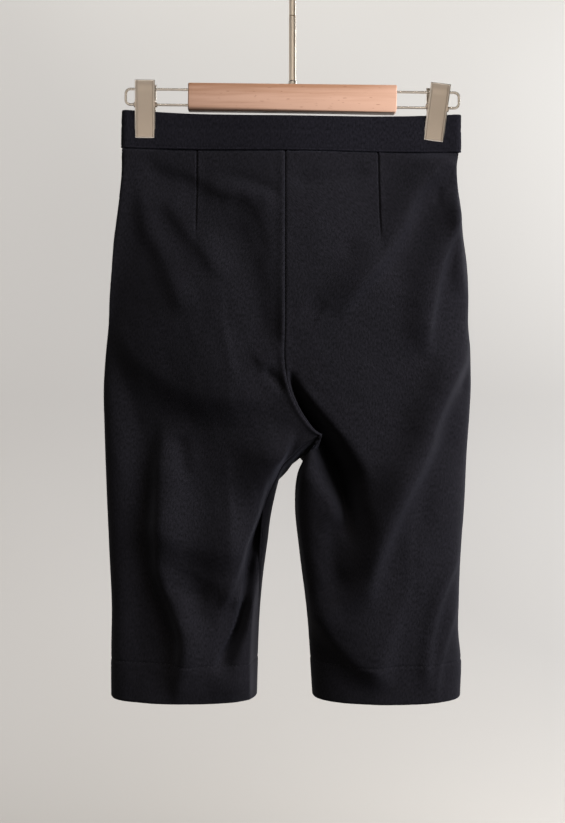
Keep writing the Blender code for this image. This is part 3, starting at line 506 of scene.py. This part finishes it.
def sectionGrid(side, face, u, above, below):
    # the plain form of one panel: rows from waist to hem, columns from side seam to inner edge
    lag = form["backLag"] if face == "back" else 0
    shares = (1 - lag) * above + lag * above ** form["backLagReach"]
    edge = np.concatenate([alongPath(centreSeam[face], shares), alongPath(inseam[side], below)[1:]])
    waist = form["waistLeft"] if side == "left" else form["waistRight"]
    sideDrop = np.concatenate([waist + (form["tipAtSide"] - waist) * above,
                               form["tipAtSide"] + (form["hem"] - form["tipAtSide"]) * below[1:]])
    sideX = smoothRead(*zip(*sideOutline[side]), sideDrop)[:, None]
    values = smoothRead([row[0] for row in sections], sections, sideDrop)
    read = {name: values[:, i:i + 1] for i, name in enumerate(sectionColumns)}
    end = np.pi / 2 * (1 + np.clip(read["wrap"], 0, 1))
    turn = u * end
    across = (1 - np.cos(turn)) / (1 - np.cos(end))
    depth = np.clip(np.sin(turn), 0, 1) ** form["fullness"]
    sign = -1 if face == "front" else 1
    reach = read[face]
    if (side, face) == ("left", "front"):
        reach = reach - smoothRead(*zip(*leftRecess), sideDrop)[:, None]
    sideDrop = sideDrop[:, None]
    edgeX, edgeY, edgeDrop = edge[:, 0:1], edge[:, 1:2], edge[:, 2:3]
    x = sideX + (read[side] - sideX) * across + (edgeX - read[side]) * across ** form["pullReach"]
    drop = sideDrop + (edgeDrop - sideDrop) * across ** form["dipReach"][face]
    if face == "back":
        drop = drop + read["dip"] * np.sin(np.pi * across ** form["swellReach"])
        swell = read["swell" + side.title()] * np.sin(np.pi * u ** form["swellReach"])
        x = x + (swell if side == "left" else -swell)
    hung = ease((sideDrop - waist) / form["hangDepth"])
    held = waistDepth(x, np.abs(x - sideX)) / (form["bandFlat"] + form["bandSwell"])
    out = reach * (held + (depth - held) * hung)
    y = sign * out + (edgeY - sign * out[:, -1:]) * across ** form["turnReach"]
    nearWaist = 1 - ease((sideDrop - waist) / form["waistFade"])
    drop = drop + (waistDrop(x[:1]) - drop[:1]) * nearWaist
    return np.stack([x, y, -drop], axis=-1)


def edgeDistances(points):
    fromSide = lengthAlong(points, axis=1)
    return fromSide, fromSide[:, -1:] - fromSide


def gridNormals(points, flip):
    normal = np.cross(np.gradient(points, axis=0), np.gradient(points, axis=1))
    normal /= np.linalg.norm(normal, axis=2, keepdims=True) + 1e-12
    return -normal if flip else normal


def panelGrid(side, face):
    above, below = rowShares()
    t = np.linspace(0, 1, form["columns"][face] + 1)
    base = t - form["crowdColumns"] * np.sin(2 * np.pi * t) / (2 * np.pi)
    u = np.broadcast_to(base, (len(above) + len(below) - 1, len(base)))
    if face == "front":
        # draw a cluster of columns onto the dart's line
        mirror = 1 if side == "left" else -1
        x = mirror * sectionGrid(side, face, u, above, below)[:, :, 0]
        onDart = np.array([np.interp(mirror * darts[side][0], row, base) for row in x])
        onDart[len(above):] = onDart[len(above)]
        middle = onDart[0]
        cluster = middle + seams["dartSpread"] / seams["dartPanel"]
        base = np.sort(np.concatenate([base[(base < cluster[0]) | (base > cluster[-1])], cluster]))
        u = base + (onDart - middle)[:, None] * np.interp(base, [0, middle, 1], [0, 1, 0])
    points = sectionGrid(side, face, u, above, below)
    x, y, drop = points[:, :, 0], points[:, :, 1], -points[:, :, 2]
    fromSide, fromEdge = edgeDistances(points)
    free = (1 - bell(fromEdge, fade["edge"])) * (1 - bell(fromSide, fade["side"]))
    free = free * ease((drop - waistDrop(x)) / fade["waist"])
    seed = cloth["seeds"][side, face]
    uneven = cloth["uneven"] * softNoise(x, drop * cloth["unevenSquash"], cloth["unevenCell"], seed)
    uneven += cloth["fine"] * softNoise(x, drop, cloth["fineCell"], seed + 1)
    sign = -1 if face == "front" else 1
    depth = sign * y
    folded = depth + (foldHeight(face, x, drop) + uneven) * free
    # close to the side seam no fold presses the cloth back past the seam
    least, soft = fade["heldLeast"] * depth, fade["heldSoft"] * np.abs(depth) + 0.001
    held = least + soft * np.logaddexp(0, (folded - least) / soft)
    y = sign * (folded + (held - folded) * bell(fromSide, fade["held"]))
    if (side, face) == ("right", "front"):
        deeper, slip = tuckShift(x, drop)
        near = 1 - bell(fromEdge, fade["tuckEdge"])
        y, x = y + deeper * near, x + slip * near
    return np.stack([x, y, -drop], axis=-1)


def shareNormals(*edges):
    mean = sum(edges)
    mean = mean / np.linalg.norm(mean, axis=-1, keepdims=True)
    for edge in edges:
        edge[...] = mean


def ridge(name, distance):
    height, width = seams[name]
    return height * bell(distance, width)


def seamRelief(side, face, points, tipRow):
    # ditches where panels are sewn together, the lap beside the centre seam, darts and hem
    x, drop = points[:, :, 0], -points[:, :, 2]
    fromSide, fromEdge = edgeDistances(points)
    relief = ridge("ditch", fromEdge) + ridge("ditch", fromSide)
    if side == "left":
        aboveTip = (np.arange(len(points)) <= tipRow)[:, None]
        relief += ridge("lap", fromEdge - seams["lapOff"]) * aboveTip
    if face == "front":
        dartX, point = darts[side]
        off, below = x - dartX, drop - point
        sewn = ease(-below / seams["dartFade"])
        relief += ridge("dart", off) * sewn
        relief += ridge("dartLip", off - seams["lipOff"]) * sewn
        relief -= seams["dimple"] * np.exp(
            -(off / seams["dimpleWidth"]) ** 2
            - ((below + seams["dimpleUp"]) / seams["dimpleHeight"]) ** 2)
    relief += ridge("waist", drop - waistDrop(x))
    toHem = form["hem"] - drop
    relief += ridge("stitch", toHem - seams["hemStitch"])
    relief += seams["turnUp"] * ease((seams["hemStitch"] - toHem) / seams["turnUpEase"])
    relief += ridge("bottom", toHem)
    return relief


def gridMesh(points, uv, closed=False):
    # a grid moved onto rows of points, with the cloth's flat lengths as its UV map
    rows, columns = points.shape[:2]
    bm = bmesh.new()
    bmesh.ops.create_grid(bm, x_segments=columns - 1, y_segments=rows - 1, size=1)
    bm.verts.index_update()
    uvLayer = bm.loops.layers.uv.new("cut")
    for face in bm.faces:
        for loop in face.loops:
            loop[uvLayer].uv = uv[divmod(loop.vert.index, columns)]
    for vert in bm.verts:
        vert.co = Vector(points[divmod(vert.index, columns)]) * mm
    if closed:
        bmesh.ops.remove_doubles(bm, verts=bm.verts[:], dist=2 * weld)
    return bm


grids = {(side, face): panelGrid(side, face)
         for side in ("left", "right") for face in ("front", "back")}
normals = {key: gridNormals(grid, key in (("left", "back"), ("right", "front")))
           for key, grid in grids.items()}
tip = len(rowShares()[0]) - 1  # the row that ends at the crotch tip
for side in ("left", "right"):
    shareNormals(normals[side, "front"][:, 0], normals[side, "back"][:, 0])
    shareNormals(normals[side, "front"][tip + 1:, -1], normals[side, "back"][tip + 1:, -1])
for face in ("front", "back"):
    shareNormals(normals["left", face][:tip, -1], normals["right", face][:tip, -1])
shareNormals(*(grid[tip, -1] for grid in normals.values()))

surfaces = {}
for (side, face), points in grids.items():
    relief = seamRelief(side, face, points, tip)
    surfaces[side, face] = points + normals[side, face] * relief[..., None]
    fromSide, _ = edgeDistances(points)
    fromTop = lengthAlong(points)
    bm = gridMesh(surfaces[side, face], np.stack([fromSide, -fromTop], axis=-1) * mm)
    # the turned-up hem is twice as thick as the rest
    wallShare = ease((seams["hemStitch"] + 1 - (form["hem"] + points[:, :, 2])) / 2)
    weights = bm.verts.layers.deform.verify()
    columns = points.shape[1]
    for vert in bm.verts:
        vert[weights][0] = float(wallShare[divmod(vert.index, columns)])
    middle = len(bm.faces) // 2
    faceAlong(bm, middle, normals[side, face][divmod(middle, columns - 1)])
    name = f"{face}{side.title()}Panel"
    piece = finishPiece(name, bm, twill, [f"{face}_{side}"])
    piece.vertex_groups.new(name="wall")
    wall = piece.modifiers.new("wall", "SOLIDIFY")
    wall.thickness, wall.offset = cloth["hemWall"] * mm, -1
    wall.vertex_group = "wall"
    wall.thickness_vertex_group = cloth["wall"] / cloth["hemWall"]
    print(name, "made, widest", round(float(fromSide[:, -1].max())), "longest",
          round(float(fromTop[-1].max())))


# the waistband: one straight band of doubled cloth, pressed flat where the clips hold it
band = {
    "height": 37.5, "proud": 0.9, "pressedProud": 0.15, "clips": (-144.6, 142.0), "pressHalf": 16,
    "inset": -0.9, "round": 1.1, "columns": 150, "topSag": 5.2, "sagSpan": (0.12, 0.76),
    "sagRaise": 0.3, "crease": 15.5, "creaseDepth": 0.35, "creaseWidth": 1.6,
    "stitch": 2.3, "stitchDepth": 0.4, "stitchWidth": 0.6,
    "uneven": 0.21, "unevenCell": 38, "unevenSeed": 51, "noiseShift": 400, "flat": (0.68, 0.0375),
}


def bandProfile():
    # (share of the way down, outward share, 1 outside and 0 inside) with rounded edges
    steps = np.linspace(0, np.pi, 7)
    edge = band["round"] / band["height"]
    down = np.concatenate([edge * (1 - np.sin(steps[::-1])), np.linspace(0.06, 0.9, 19),
                           (0.925, 0.95, 0.962), 1 - edge * (1 - np.sin(steps)),
                           np.linspace(0.94, 0.06, 8), [0]])
    out = np.concatenate([0.5 - 0.5 * np.cos(steps[::-1] - np.pi), np.ones(22),
                          0.5 + 0.5 * np.cos(steps), np.zeros(8), [0]])
    down[-1], out[-1] = down[0], out[0]
    return down, out


def bandRing(down):
    # the loop of points at one height, left end to right end in front and back again behind
    turn = np.linspace(0, np.pi, band["columns"] + 1)
    ends = [(sideOutline[side][0][1], sideOutline[side][1][1]) for side in ("left", "right")]
    left, right = (upper + (lower - upper) * down for upper, lower in ends)
    x = left + (right - left) * (1 - np.cos(turn)) / 2
    out = waistDepth(x, np.minimum(x - left, right - x))
    x = np.concatenate([x, x[-2::-1]])
    y = np.concatenate([-out, out[-2::-1]])
    sagStart, sagRun = band["sagSpan"]
    swing = np.sin(np.pi * (sagStart + sagRun * (x - left) / (right - left)))
    sag = band["topSag"] * (np.clip(swing, 0, 1) - band["sagRaise"])
    return x, y, waistDrop(x) - (band["height"] - sag) * (1 - down)


def makeBand():
    rows = []
    for share, outShare in zip(*bandProfile()):
        x, y, drop = bandRing(share)
        tangent = np.stack([np.gradient(x), np.gradient(y)], axis=-1)
        tangent[0] = tangent[-1] = (0, -1)
        tangent /= np.linalg.norm(tangent, axis=1, keepdims=True) + 1e-12
        normal = np.stack([tangent[:, 1], -tangent[:, 0]], axis=-1)
        pressed = sum(np.exp(-((x - clip) / band["pressHalf"]) ** 4) for clip in band["clips"])
        pressed = np.clip(pressed, 0, 1)
        proud = band["proud"] + (band["pressedProud"] - band["proud"]) * pressed
        fromTop = share * band["height"]
        uneven = band["uneven"] * softNoise(x + (y > 0) * band["noiseShift"], drop, band["unevenCell"],
                                            band["unevenSeed"])
        crease = band["creaseDepth"] * bell(fromTop - band["crease"], band["creaseWidth"])
        stitch = band["stitchDepth"] * bell(fromTop - band["height"] + band["stitch"],
                                            band["stitchWidth"])
        relief = (uneven - crease) * (1 - pressed) - stitch
        offset = band["inset"] + (proud + relief - band["inset"]) * outShare
        rows.append(np.stack([x + normal[:, 0] * offset, y + normal[:, 1] * offset, -drop], axis=-1))
    points = np.array(rows)
    points[:, -1] = points[:, 0]
    uv = np.stack([lengthAlong(points, axis=1), -lengthAlong(points)], axis=-1) * mm
    bm = gridMesh(points, uv, closed=True)
    bmesh.ops.recalc_face_normals(bm, faces=bm.faces[:])
    piece = finishPiece("waistband", bm, bandTwill, ["waistband_front", "waistband_back"])


def clothLine(points, level):
    # where the cloth crosses one height, column by column
    line = []
    for column in range(points.shape[1]):
        heights = -points[:, column, 2]
        row = int(np.argmax(heights > level))
        t = (level - heights[row - 1]) / (heights[row] - heights[row - 1])
        line.append(points[row - 1, column] * (1 - t) + points[row, column] * t)
    return np.array(line)


# the hem is caught from inside: on the face only the dip of each stitch and a speck of thread show
hemStitch = {"spacing": 4.2, "length": 1.6, "radius": 0.11, "ahead": 0.5}


def makeHemStitches(side):
    bm = bmesh.new()
    shape = Matrix.Diagonal((hemStitch["radius"], hemStitch["radius"], hemStitch["length"] / 2, 1)) * mm
    shape[3][3] = 1
    for face in ("front", "back"):
        line = clothLine(surfaces[side, face], form["hem"] - seams["hemStitch"])
        lengths = lengthAlong(line)
        for reach in np.arange(hemStitch["spacing"] / 2, lengths[-1], hemStitch["spacing"]):
            spot, ahead = (np.array([np.interp(at, lengths, line[:, i]) for i in range(3)])
                           for at in (reach, reach + hemStitch["ahead"]))
            way = Vector(ahead - spot).normalized().to_track_quat("Z", "Y").to_matrix().to_4x4()
            bmesh.ops.create_icosphere(bm, subdivisions=1, radius=1,
                                       matrix=Matrix.Translation(Vector(spot) * mm) @ way @ shape)
    finishPiece(f"hemStitches{side.title()}", bm, thread)


for side in ("left", "right"):
    makeHemStitches(side)
makeBand()
print("waistband and hem stitches made")

hanger = {
    "tilt": math.radians(0.66), "barLength": 203.8, "barHeight": 26.7, "barThickness": 12.0,
    "barTop": 144.2, "barArris": 1.3, "endRound": 3.2, "underRound": 3.8, "wire": 2.5,
    "wireSpacing": 15.2, "wireBelowTop": 5.4, "wireEnd": 164.5, "wireCorner": 4.6,
    "wireSocket": 10.0,
}


def onBar(x, belowTop):
    tilt = hanger["tilt"]
    return (x * math.cos(tilt) - belowTop * math.sin(tilt),
            hanger["barTop"] + belowTop * math.cos(tilt) + x * math.sin(tilt))


def atDrop(x, drop, turn=0.0):
    # a place on the hanger, turned about Y
    return Matrix.Translation(Vector((x, 0, -drop)) * mm) @ Matrix.Rotation(turn, 4, "Y")


def makeBar():
    bm = bmesh.new()
    bmesh.ops.create_cube(bm, size=1)
    bmesh.ops.scale(bm, verts=bm.verts[:], vec=Vector((hanger["barLength"], hanger["barThickness"],
                                                       hanger["barHeight"])) * mm)
    low = [e for e in bm.edges if all(v.co.x > 0 and v.co.z < 0 for v in e.verts)]
    roundEdges(bm, low, hanger["endRound"], 4)
    under = [e for e in bm.edges if all(v.co.z < 0 for v in e.verts)
             and abs(e.verts[0].co.x - e.verts[1].co.x) > hanger["barLength"] / 2 * mm]
    roundEdges(bm, under, hanger["underRound"], 5)
    sharp = [e for e in bm.edges if e.calc_face_angle(0) > 0.9]
    roundEdges(bm, sharp, hanger["barArris"], 3)
    x, drop = onBar(0, hanger["barHeight"] / 2)
    bmesh.ops.transform(bm, verts=bm.verts[:], matrix=atDrop(x, drop, hanger["tilt"]))
    finishPiece("hangerBar", bm, beech, ["hanger_bar"], sharpAngle=50)


def makeRod(name, points, radius, material, replaces, narrowing=0, sides=8):
    # a round rod along a line of points, narrowing to a rounded end over its last ones
    curve = bpy.data.curves.new(name, "CURVE")
    curve.dimensions = "3D"
    curve.bevel_depth = radius * mm
    curve.bevel_resolution = sides
    curve.use_fill_caps = True
    line = curve.splines.new("POLY")
    line.points.add(len(points) - 1)
    for number, (knot, point) in enumerate(zip(line.points, points)):
        knot.co = (*(Vector(point) * mm), 1)
        fromEnd = len(points) - 1 - number
        if fromEnd < narrowing:
            knot.radius = math.sqrt(max(0.02, 1 - (1 - fromEnd / narrowing) ** 2))
    rod = bpy.data.objects.new(name, curve)
    mesh = bpy.data.meshes.new_from_object(rod)
    bpy.data.objects.remove(rod)
    bm = bmesh.new()
    bm.from_mesh(mesh)
    bpy.data.meshes.remove(mesh)
    bmesh.ops.remove_doubles(bm, verts=bm.verts[:], dist=weld)
    finishPiece(name, bm, material, replaces, sharpAngle=60)


def arc(x, z, radius, start, turn, steps):
    angles = [start + turn * step / steps for step in range(steps + 1)]
    return [(x + radius * math.cos(angle), z + radius * math.sin(angle)) for angle in angles]


def makeLoop(side):
    # one bent wire loop, both ends pushed into the bar
    sign, quarter = -1 if side == "left" else 1, math.pi / 2
    inner = hanger["barLength"] / 2 - hanger["wireSocket"]
    upper, corner = hanger["wireBelowTop"], hanger["wireCorner"]
    lower = upper + hanger["wireSpacing"]
    bend = hanger["wireEnd"] - hanger["wire"] / 2 - corner
    flat = [(inner, upper), *arc(bend, upper + corner, corner, -quarter, quarter, 12),
            *arc(bend, lower - corner, corner, 0, quarter, 12), (inner, lower)]
    placed = [onBar(sign * x, below) for x, below in flat]
    makeRod(f"wireLoop{side.title()}", [(x, 0, -drop) for x, drop in placed], hanger["wire"] / 2,
            brightNickel, [f"wire_loop_{side}"])


# a turned stem under the hook, with a polished collar on the bar: profiles of (radius, drop)
stem = {
    "top": 76.3,
    "shaft": ((0, 76.8), (3.0, 76.8), (3.3915, 77.07), (3.45, 77.35), (3.45, 139.9), (3.05, 140.1),
              (0, 140.1)),
    "collar": ((0, 140.05), (2.9, 140.05), (3.6, 140.25), (4.0, 140.8), (4.1, 141.5), (4.1, 143.3),
               (3.85, 144.0), (3.4, 144.3), (0, 144.3)),
}
hook = {"rod": 6.6, "inside": 21.0, "returnRadius": 18.0, "tip": math.radians(212),
        "dome": (0.5, 1.0, 1.5, 1.9, 2.15)}


def makeTurned(name, profile, material, replaces):
    bm = spinMesh([Vector((radius, 0, -drop)) * mm for radius, drop in profile], 56, weld)
    finishPiece(name, bm, material, replaces, sharpAngle=35)


def makeHook():
    big, small = hook["inside"] + hook["rod"] / 2, hook["returnRadius"]
    bend = hook["inside"] + math.sqrt((big + small) ** 2 - small ** 2)
    meet = math.acos(small / (big + small))
    line = [(0, -stem["top"]), (0, -(bend + (stem["top"] - bend) / 2)),
            *arc(small, -bend, small, math.pi, -meet, 16),
            *arc(0, -hook["inside"], big, -meet, hook["tip"] + meet, 90)[1:]]
    points = [Vector((x, 0, z)) for x, z in line]
    # the sawn end is filed to a dome
    way = (points[-1] - points[-2]).normalized()
    points += [points[-1] + way * reach for reach in hook["dome"]]
    makeRod("hook", points, hook["rod"] / 2, rodNickel, ["hook"], narrowing=6, sides=14)


# pressed steel clips: two bent jaws that swing on the lower wire, with a torsion spring between
clip = {
    # highlightEdge: how far in from the jaw's edges the painted highlight reaches
    "width": 19.6, "sheet": 1.1, "corner": 2.3, "highlightEdge": 1.25,
    "lineInset": 2.0, "lineDepth": 0.32, "lineWidth": 0.36, "edgeRoll": 0.85, "rollWidth": 0.75,
    "edgeColumns": (0.985, 0.97, 0.955, 0.94, 0.9, 0.872, 0.835, 0.815, 0.796, 0.777, 0.76),
    "side": ((22.0, 9.4), (20.6, 8.6), (10.0, 7.0), (0.0, 5.8), (-12.0, 4.4), (-24.0, 3.5),
             (-33.5, 3.25)),
    "lipReach": 2.6, "lipHeight": 1.2, "earRadius": 3.6, "earSheet": 1.1, "earPlay": 0.4,
    "bossRadius": 2.5, "bossLength": 2.2, "bossRound": 0.35,
    "springWire": 1.1, "springRadius": 2.6, "springTurns": 5, "springPitch": 1.6,
    "springLeg": 13.0, "springPlay": 0.3,
    "places": {"left": (-143.8, 0.0), "right": (142.0, math.radians(6.4))},
}


def jawOut(height):
    pairs = sorted(clip["side"])
    return smoothRead([p[0] for p in pairs], [p[1] for p in pairs], height)


def makeJaw(name, sign, place, earHalf, replaces):
    half, corner = clip["width"] / 2, clip["corner"]
    top, bottom = clip["side"][0][0], clip["side"][-1][0]
    nearEdge = np.array(clip["edgeColumns"])
    across = np.sort(np.concatenate([np.linspace(-1, 1, 25), nearEdge, -nearEdge]))
    heights = np.concatenate([np.linspace(bottom, bottom + corner, 9),
                              np.linspace(bottom + corner, top - 2, 40)[1:],
                              np.linspace(top - 2, top, 7)[1:]])
    x, height = np.meshgrid(across, heights)
    fromBottom = np.clip(height - bottom, 0, corner)
    halfHere = half - corner + np.sqrt(np.clip(corner ** 2 - (corner - fromBottom) ** 2, 0, None))
    halfHere = np.where(height >= bottom + corner, half, halfHere)
    # a fine line is pressed in along both sides and the edges are rolled back
    fromFlank = half - np.abs(x) * halfHere
    out = jawOut(height) - clip["lineDepth"] * bell(fromFlank - clip["lineInset"], clip["lineWidth"])
    out = out - clip["edgeRoll"] * bell(np.minimum(fromFlank, height - bottom), clip["rollWidth"])
    lip = np.clip((height - (top - clip["lipHeight"])) / clip["lipHeight"], 0, 1)
    out = out - clip["lipReach"] * (1 - np.cos(lip * np.pi / 2)) * 0.5
    points = np.stack([x * halfHere, sign * out, height], axis=-1)
    bm = gridMesh(points, np.stack([x * half, height], axis=-1) * mm)
    faceAlong(bm, len(bm.faces) // 2, (0, sign, 0))
    for face in bm.faces:
        centre = face.calc_center_median() / mm
        # painted highlight: faces this close to an edge take the paler nickel
        if min(half - abs(centre.x), centre.z - bottom, top - centre.z) < clip["highlightEdge"]:
            face.material_index = 1
    bmesh.ops.solidify(bm, geom=bm.faces[:], thickness=clip["sheet"] * mm)
    ear, atPivot = clip["earRadius"], float(jawOut(0))
    for earSide in (-1, 1):
        made = bmesh.ops.create_cube(bm, size=1)["verts"]
        bmesh.ops.scale(bm, verts=made, vec=Vector((clip["earSheet"], atPivot + ear, 2 * ear)) * mm)
        bmesh.ops.translate(bm, verts=made,
                            vec=Vector((earSide * earHalf, sign * (atPivot - ear) / 2, 0)) * mm)
        # round the end at the wire: the edges across it
        ends = [e for e in {e for v in made for e in v.link_edges}
                if all(abs(v.co.y) < ear * 1.05 * mm for v in e.verts)
                and abs(e.verts[0].co.x - e.verts[1].co.x) > 0.5 * mm]
        roundEdges(bm, ends, ear * 0.95, 6)
        if sign < 0:
            middle = Vector((earSide * (earHalf + clip["bossLength"] / 2), 0, 0)) * mm
            turned = Matrix.Translation(middle) @ Matrix.Rotation(math.pi / 2, 4, "Y")
            rim = bmesh.ops.create_cone(bm, cap_ends=True, segments=28, matrix=turned,
                                        radius1=clip["bossRadius"] * mm,
                                        radius2=clip["bossRadius"] * mm,
                                        depth=clip["bossLength"] * mm)["verts"]
            edges = [e for e in {e for v in rim for e in v.link_edges} if e.calc_face_angle(0) > 1]
            roundEdges(bm, edges, clip["bossRound"], 2)
    bmesh.ops.transform(bm, verts=bm.verts[:], matrix=place)
    jaw = finishPiece(name, bm, satinNickel, replaces, sharpAngle=45)
    # the second slot holds the painted edge highlight
    jaw.data.materials.append(edgeHighlightNickel)


def makeClip(side):
    centre, swing = clip["places"][side]
    x, drop = onBar(centre, hanger["wireBelowTop"] + hanger["wireSpacing"])
    place, name = atDrop(x, drop, hanger["tilt"]), f"clip{side.title()}"
    half = clip["width"] / 2 - clip["earSheet"] / 2
    makeJaw(f"{name}Front", -1, atDrop(x, drop, hanger["tilt"] + swing), half,
            [f"clip_{side}_front_jaw"])
    makeJaw(f"{name}Back", 1, place, half - clip["earSheet"] - clip["earPlay"],
            [f"clip_{side}_back_jaw"])
    turns, radius, leg = clip["springTurns"], clip["springRadius"], clip["springLeg"]
    halfSpan, steps = turns * clip["springPitch"] / 2, turns * 24
    gap = float(jawOut(leg)) - clip["sheet"] / 2 - clip["springWire"] / 2 - clip["springPlay"]
    coil = [Vector((-halfSpan, -gap, leg))]
    for step in range(steps + 1):
        angle = math.pi + 2 * math.pi * (turns - 0.5) * step / steps
        coil.append(Vector((-halfSpan + 2 * halfSpan * step / steps, radius * math.cos(angle),
                            -radius * math.sin(angle))))
    coil.append(Vector((halfSpan, gap, leg)))
    makeRod(f"{name}Spring", [place @ (p * mm) / mm for p in coil], clip["springWire"] / 2,
            brightNickel, [f"clip_{side}_spring"], sides=4)


makeBar()
for side in ("left", "right"):
    makeLoop(side)
    makeClip(side)
makeTurned("stem", stem["shaft"], rodNickel, ["stem"])
makeTurned("stemCollar", stem["collar"], brightNickel, [])
makeHook()
print("hanger made")

# a round pale room: floor, cove and wall in one, with soft lights inside it
studio = {
    "floor": -1.7, "radius": 3.4, "cove": 1.3, "wallTop": 3.2, "paper": "#b9b6b1",
    # floorPaintedShade: the deeper paper tone painted on the floor near the piece as shade
    "floorPaintedShade": "#8b8885", "shade": "#b2aea8", "ambient": 0.09, "ambientColour": "#fff6ec",
}
lights = (  # name, place, aimed at, size, watts, colour, mirrored in the metal
    ("key", (1.62, -0.97, 0.25), (0.05, 0, -0.45), 1.7, 123, "#f3f3fd", False),
    ("front", (0.1, -1.0, 1.5), (0.05, 0, -0.45), 0.9, 15, "#fff8f0", False),
    ("wash", (2.7, 1.4, 0.7), (1.6, 3.4, 0.1), 1.6, 152, "#f5f8fc", True),
    ("topWash", (-0.1, 1.8, 2.7), (-0.6, 3.4, 1.5), 1.4, 42, "#f9f9f6", True),
    ("frontWash", (0.2, -1.7, 1.7), (0.2, -3.4, 0.0), 1.6, 84, "#fffaf4", True),
    ("rear", (1.25, 1.35, 0.4), (0, 0.1, -0.45), 1.1, 62, "#fffaf2", False),
)


def makeRoom():
    low, radius, cove = studio["floor"], studio["radius"], studio["cove"]
    profile = [(0.0, 0, low), (radius - cove, 0, low)]
    profile += [(radius - cove + cove * math.sin(a), 0, low + cove - cove * math.cos(a))
                for a in np.linspace(0.1, math.pi / 2, 14)]
    bm = spinMesh(profile + [(radius, 0, studio["wallTop"])], 96, 0.0001)
    faceAlong(bm, 0, (0, 0, 1))
    # backdrop paper: matt and pale, with painted shade on the floor near the piece
    paper, tree, shader = newMaterial("backdropPaper", {"Roughness": 0.9})
    place = addNode(tree, "TexCoord", {})
    cloud = addNode(tree, "TexNoise", {
        "Scale": 0.6, "Detail": 2.0, "Vector": place.outputs["Object"]})
    tone = addNode(tree, "Mix", {
        "data_type": "RGBA", 6: linear(studio["shade"]), 7: linear(studio["paper"]),
        "Factor": cloud.outputs["Fac"]})
    # painted shade: the floor below the piece lies nearest the lamps, so its paper is painted a tone
    # deeper there to hold back their light
    flat = addNode(tree, "Mapping", {"Scale": (1, 1, 0), "Vector": place.outputs["Object"]})
    out = addNode(tree, "VectorMath", {"operation": "LENGTH", 0: flat.outputs["Vector"]})
    reach = addNode(tree, "MapRange", {
        "interpolation_type": "SMOOTHSTEP", "From Min": 0.9, "From Max": 2.3,
        "Value": out.outputs["Value"]})
    floorShadePainted = addNode(tree, "Mix", {
        "data_type": "RGBA", 6: linear(studio["floorPaintedShade"]), "Factor": reach.outputs["Result"],
        7: tone.outputs[2]})
    setNode(shader, {"Base Color": floorShadePainted.outputs[2]})
    room = addMesh("room", bm, paper)
    # the room is seen and mirrored, but the soft light comes from the lamps and the world alone
    room.visible_diffuse = room.visible_shadow = False


def makeLights():
    for name, place, aim, size, watts, colour, mirrored in lights:
        light = bpy.data.lights.new(name, "AREA")
        light.shape, light.size, light.energy = "DISK", size, watts
        light.color = linear(colour)[:3]
        lamp = addObject(name, light)
        lamp.location = place
        lamp.rotation_euler = (Vector(aim) - Vector(place)).to_track_quat("-Z", "Y").to_euler()
        lamp.visible_camera = False
        lamp.visible_glossy = mirrored
    world = bpy.data.worlds.new("ambient")
    world.use_nodes = True
    sky = world.node_tree.nodes["Background"]
    sky.inputs["Color"].default_value = linear(studio["ambientColour"])
    sky.inputs["Strength"].default_value = studio["ambient"]
    bpy.context.scene.world = world
    bpy.context.scene.view_settings.view_transform = "Standard"


view = {"place": (-0.0098, -1.0, -0.4638), "lens": 44.63, "sensor": 36}


def makeCamera():
    lens = bpy.data.cameras.new("view")
    lens.sensor_width, lens.lens = view["sensor"], view["lens"]
    camera = addObject("view", lens)
    camera.location = view["place"]
    camera.rotation_euler = (math.pi / 2, 0, 0)
    bpy.context.scene.camera = camera


makeRoom()
makeLights()
makeCamera()
print("room, lights and camera made")
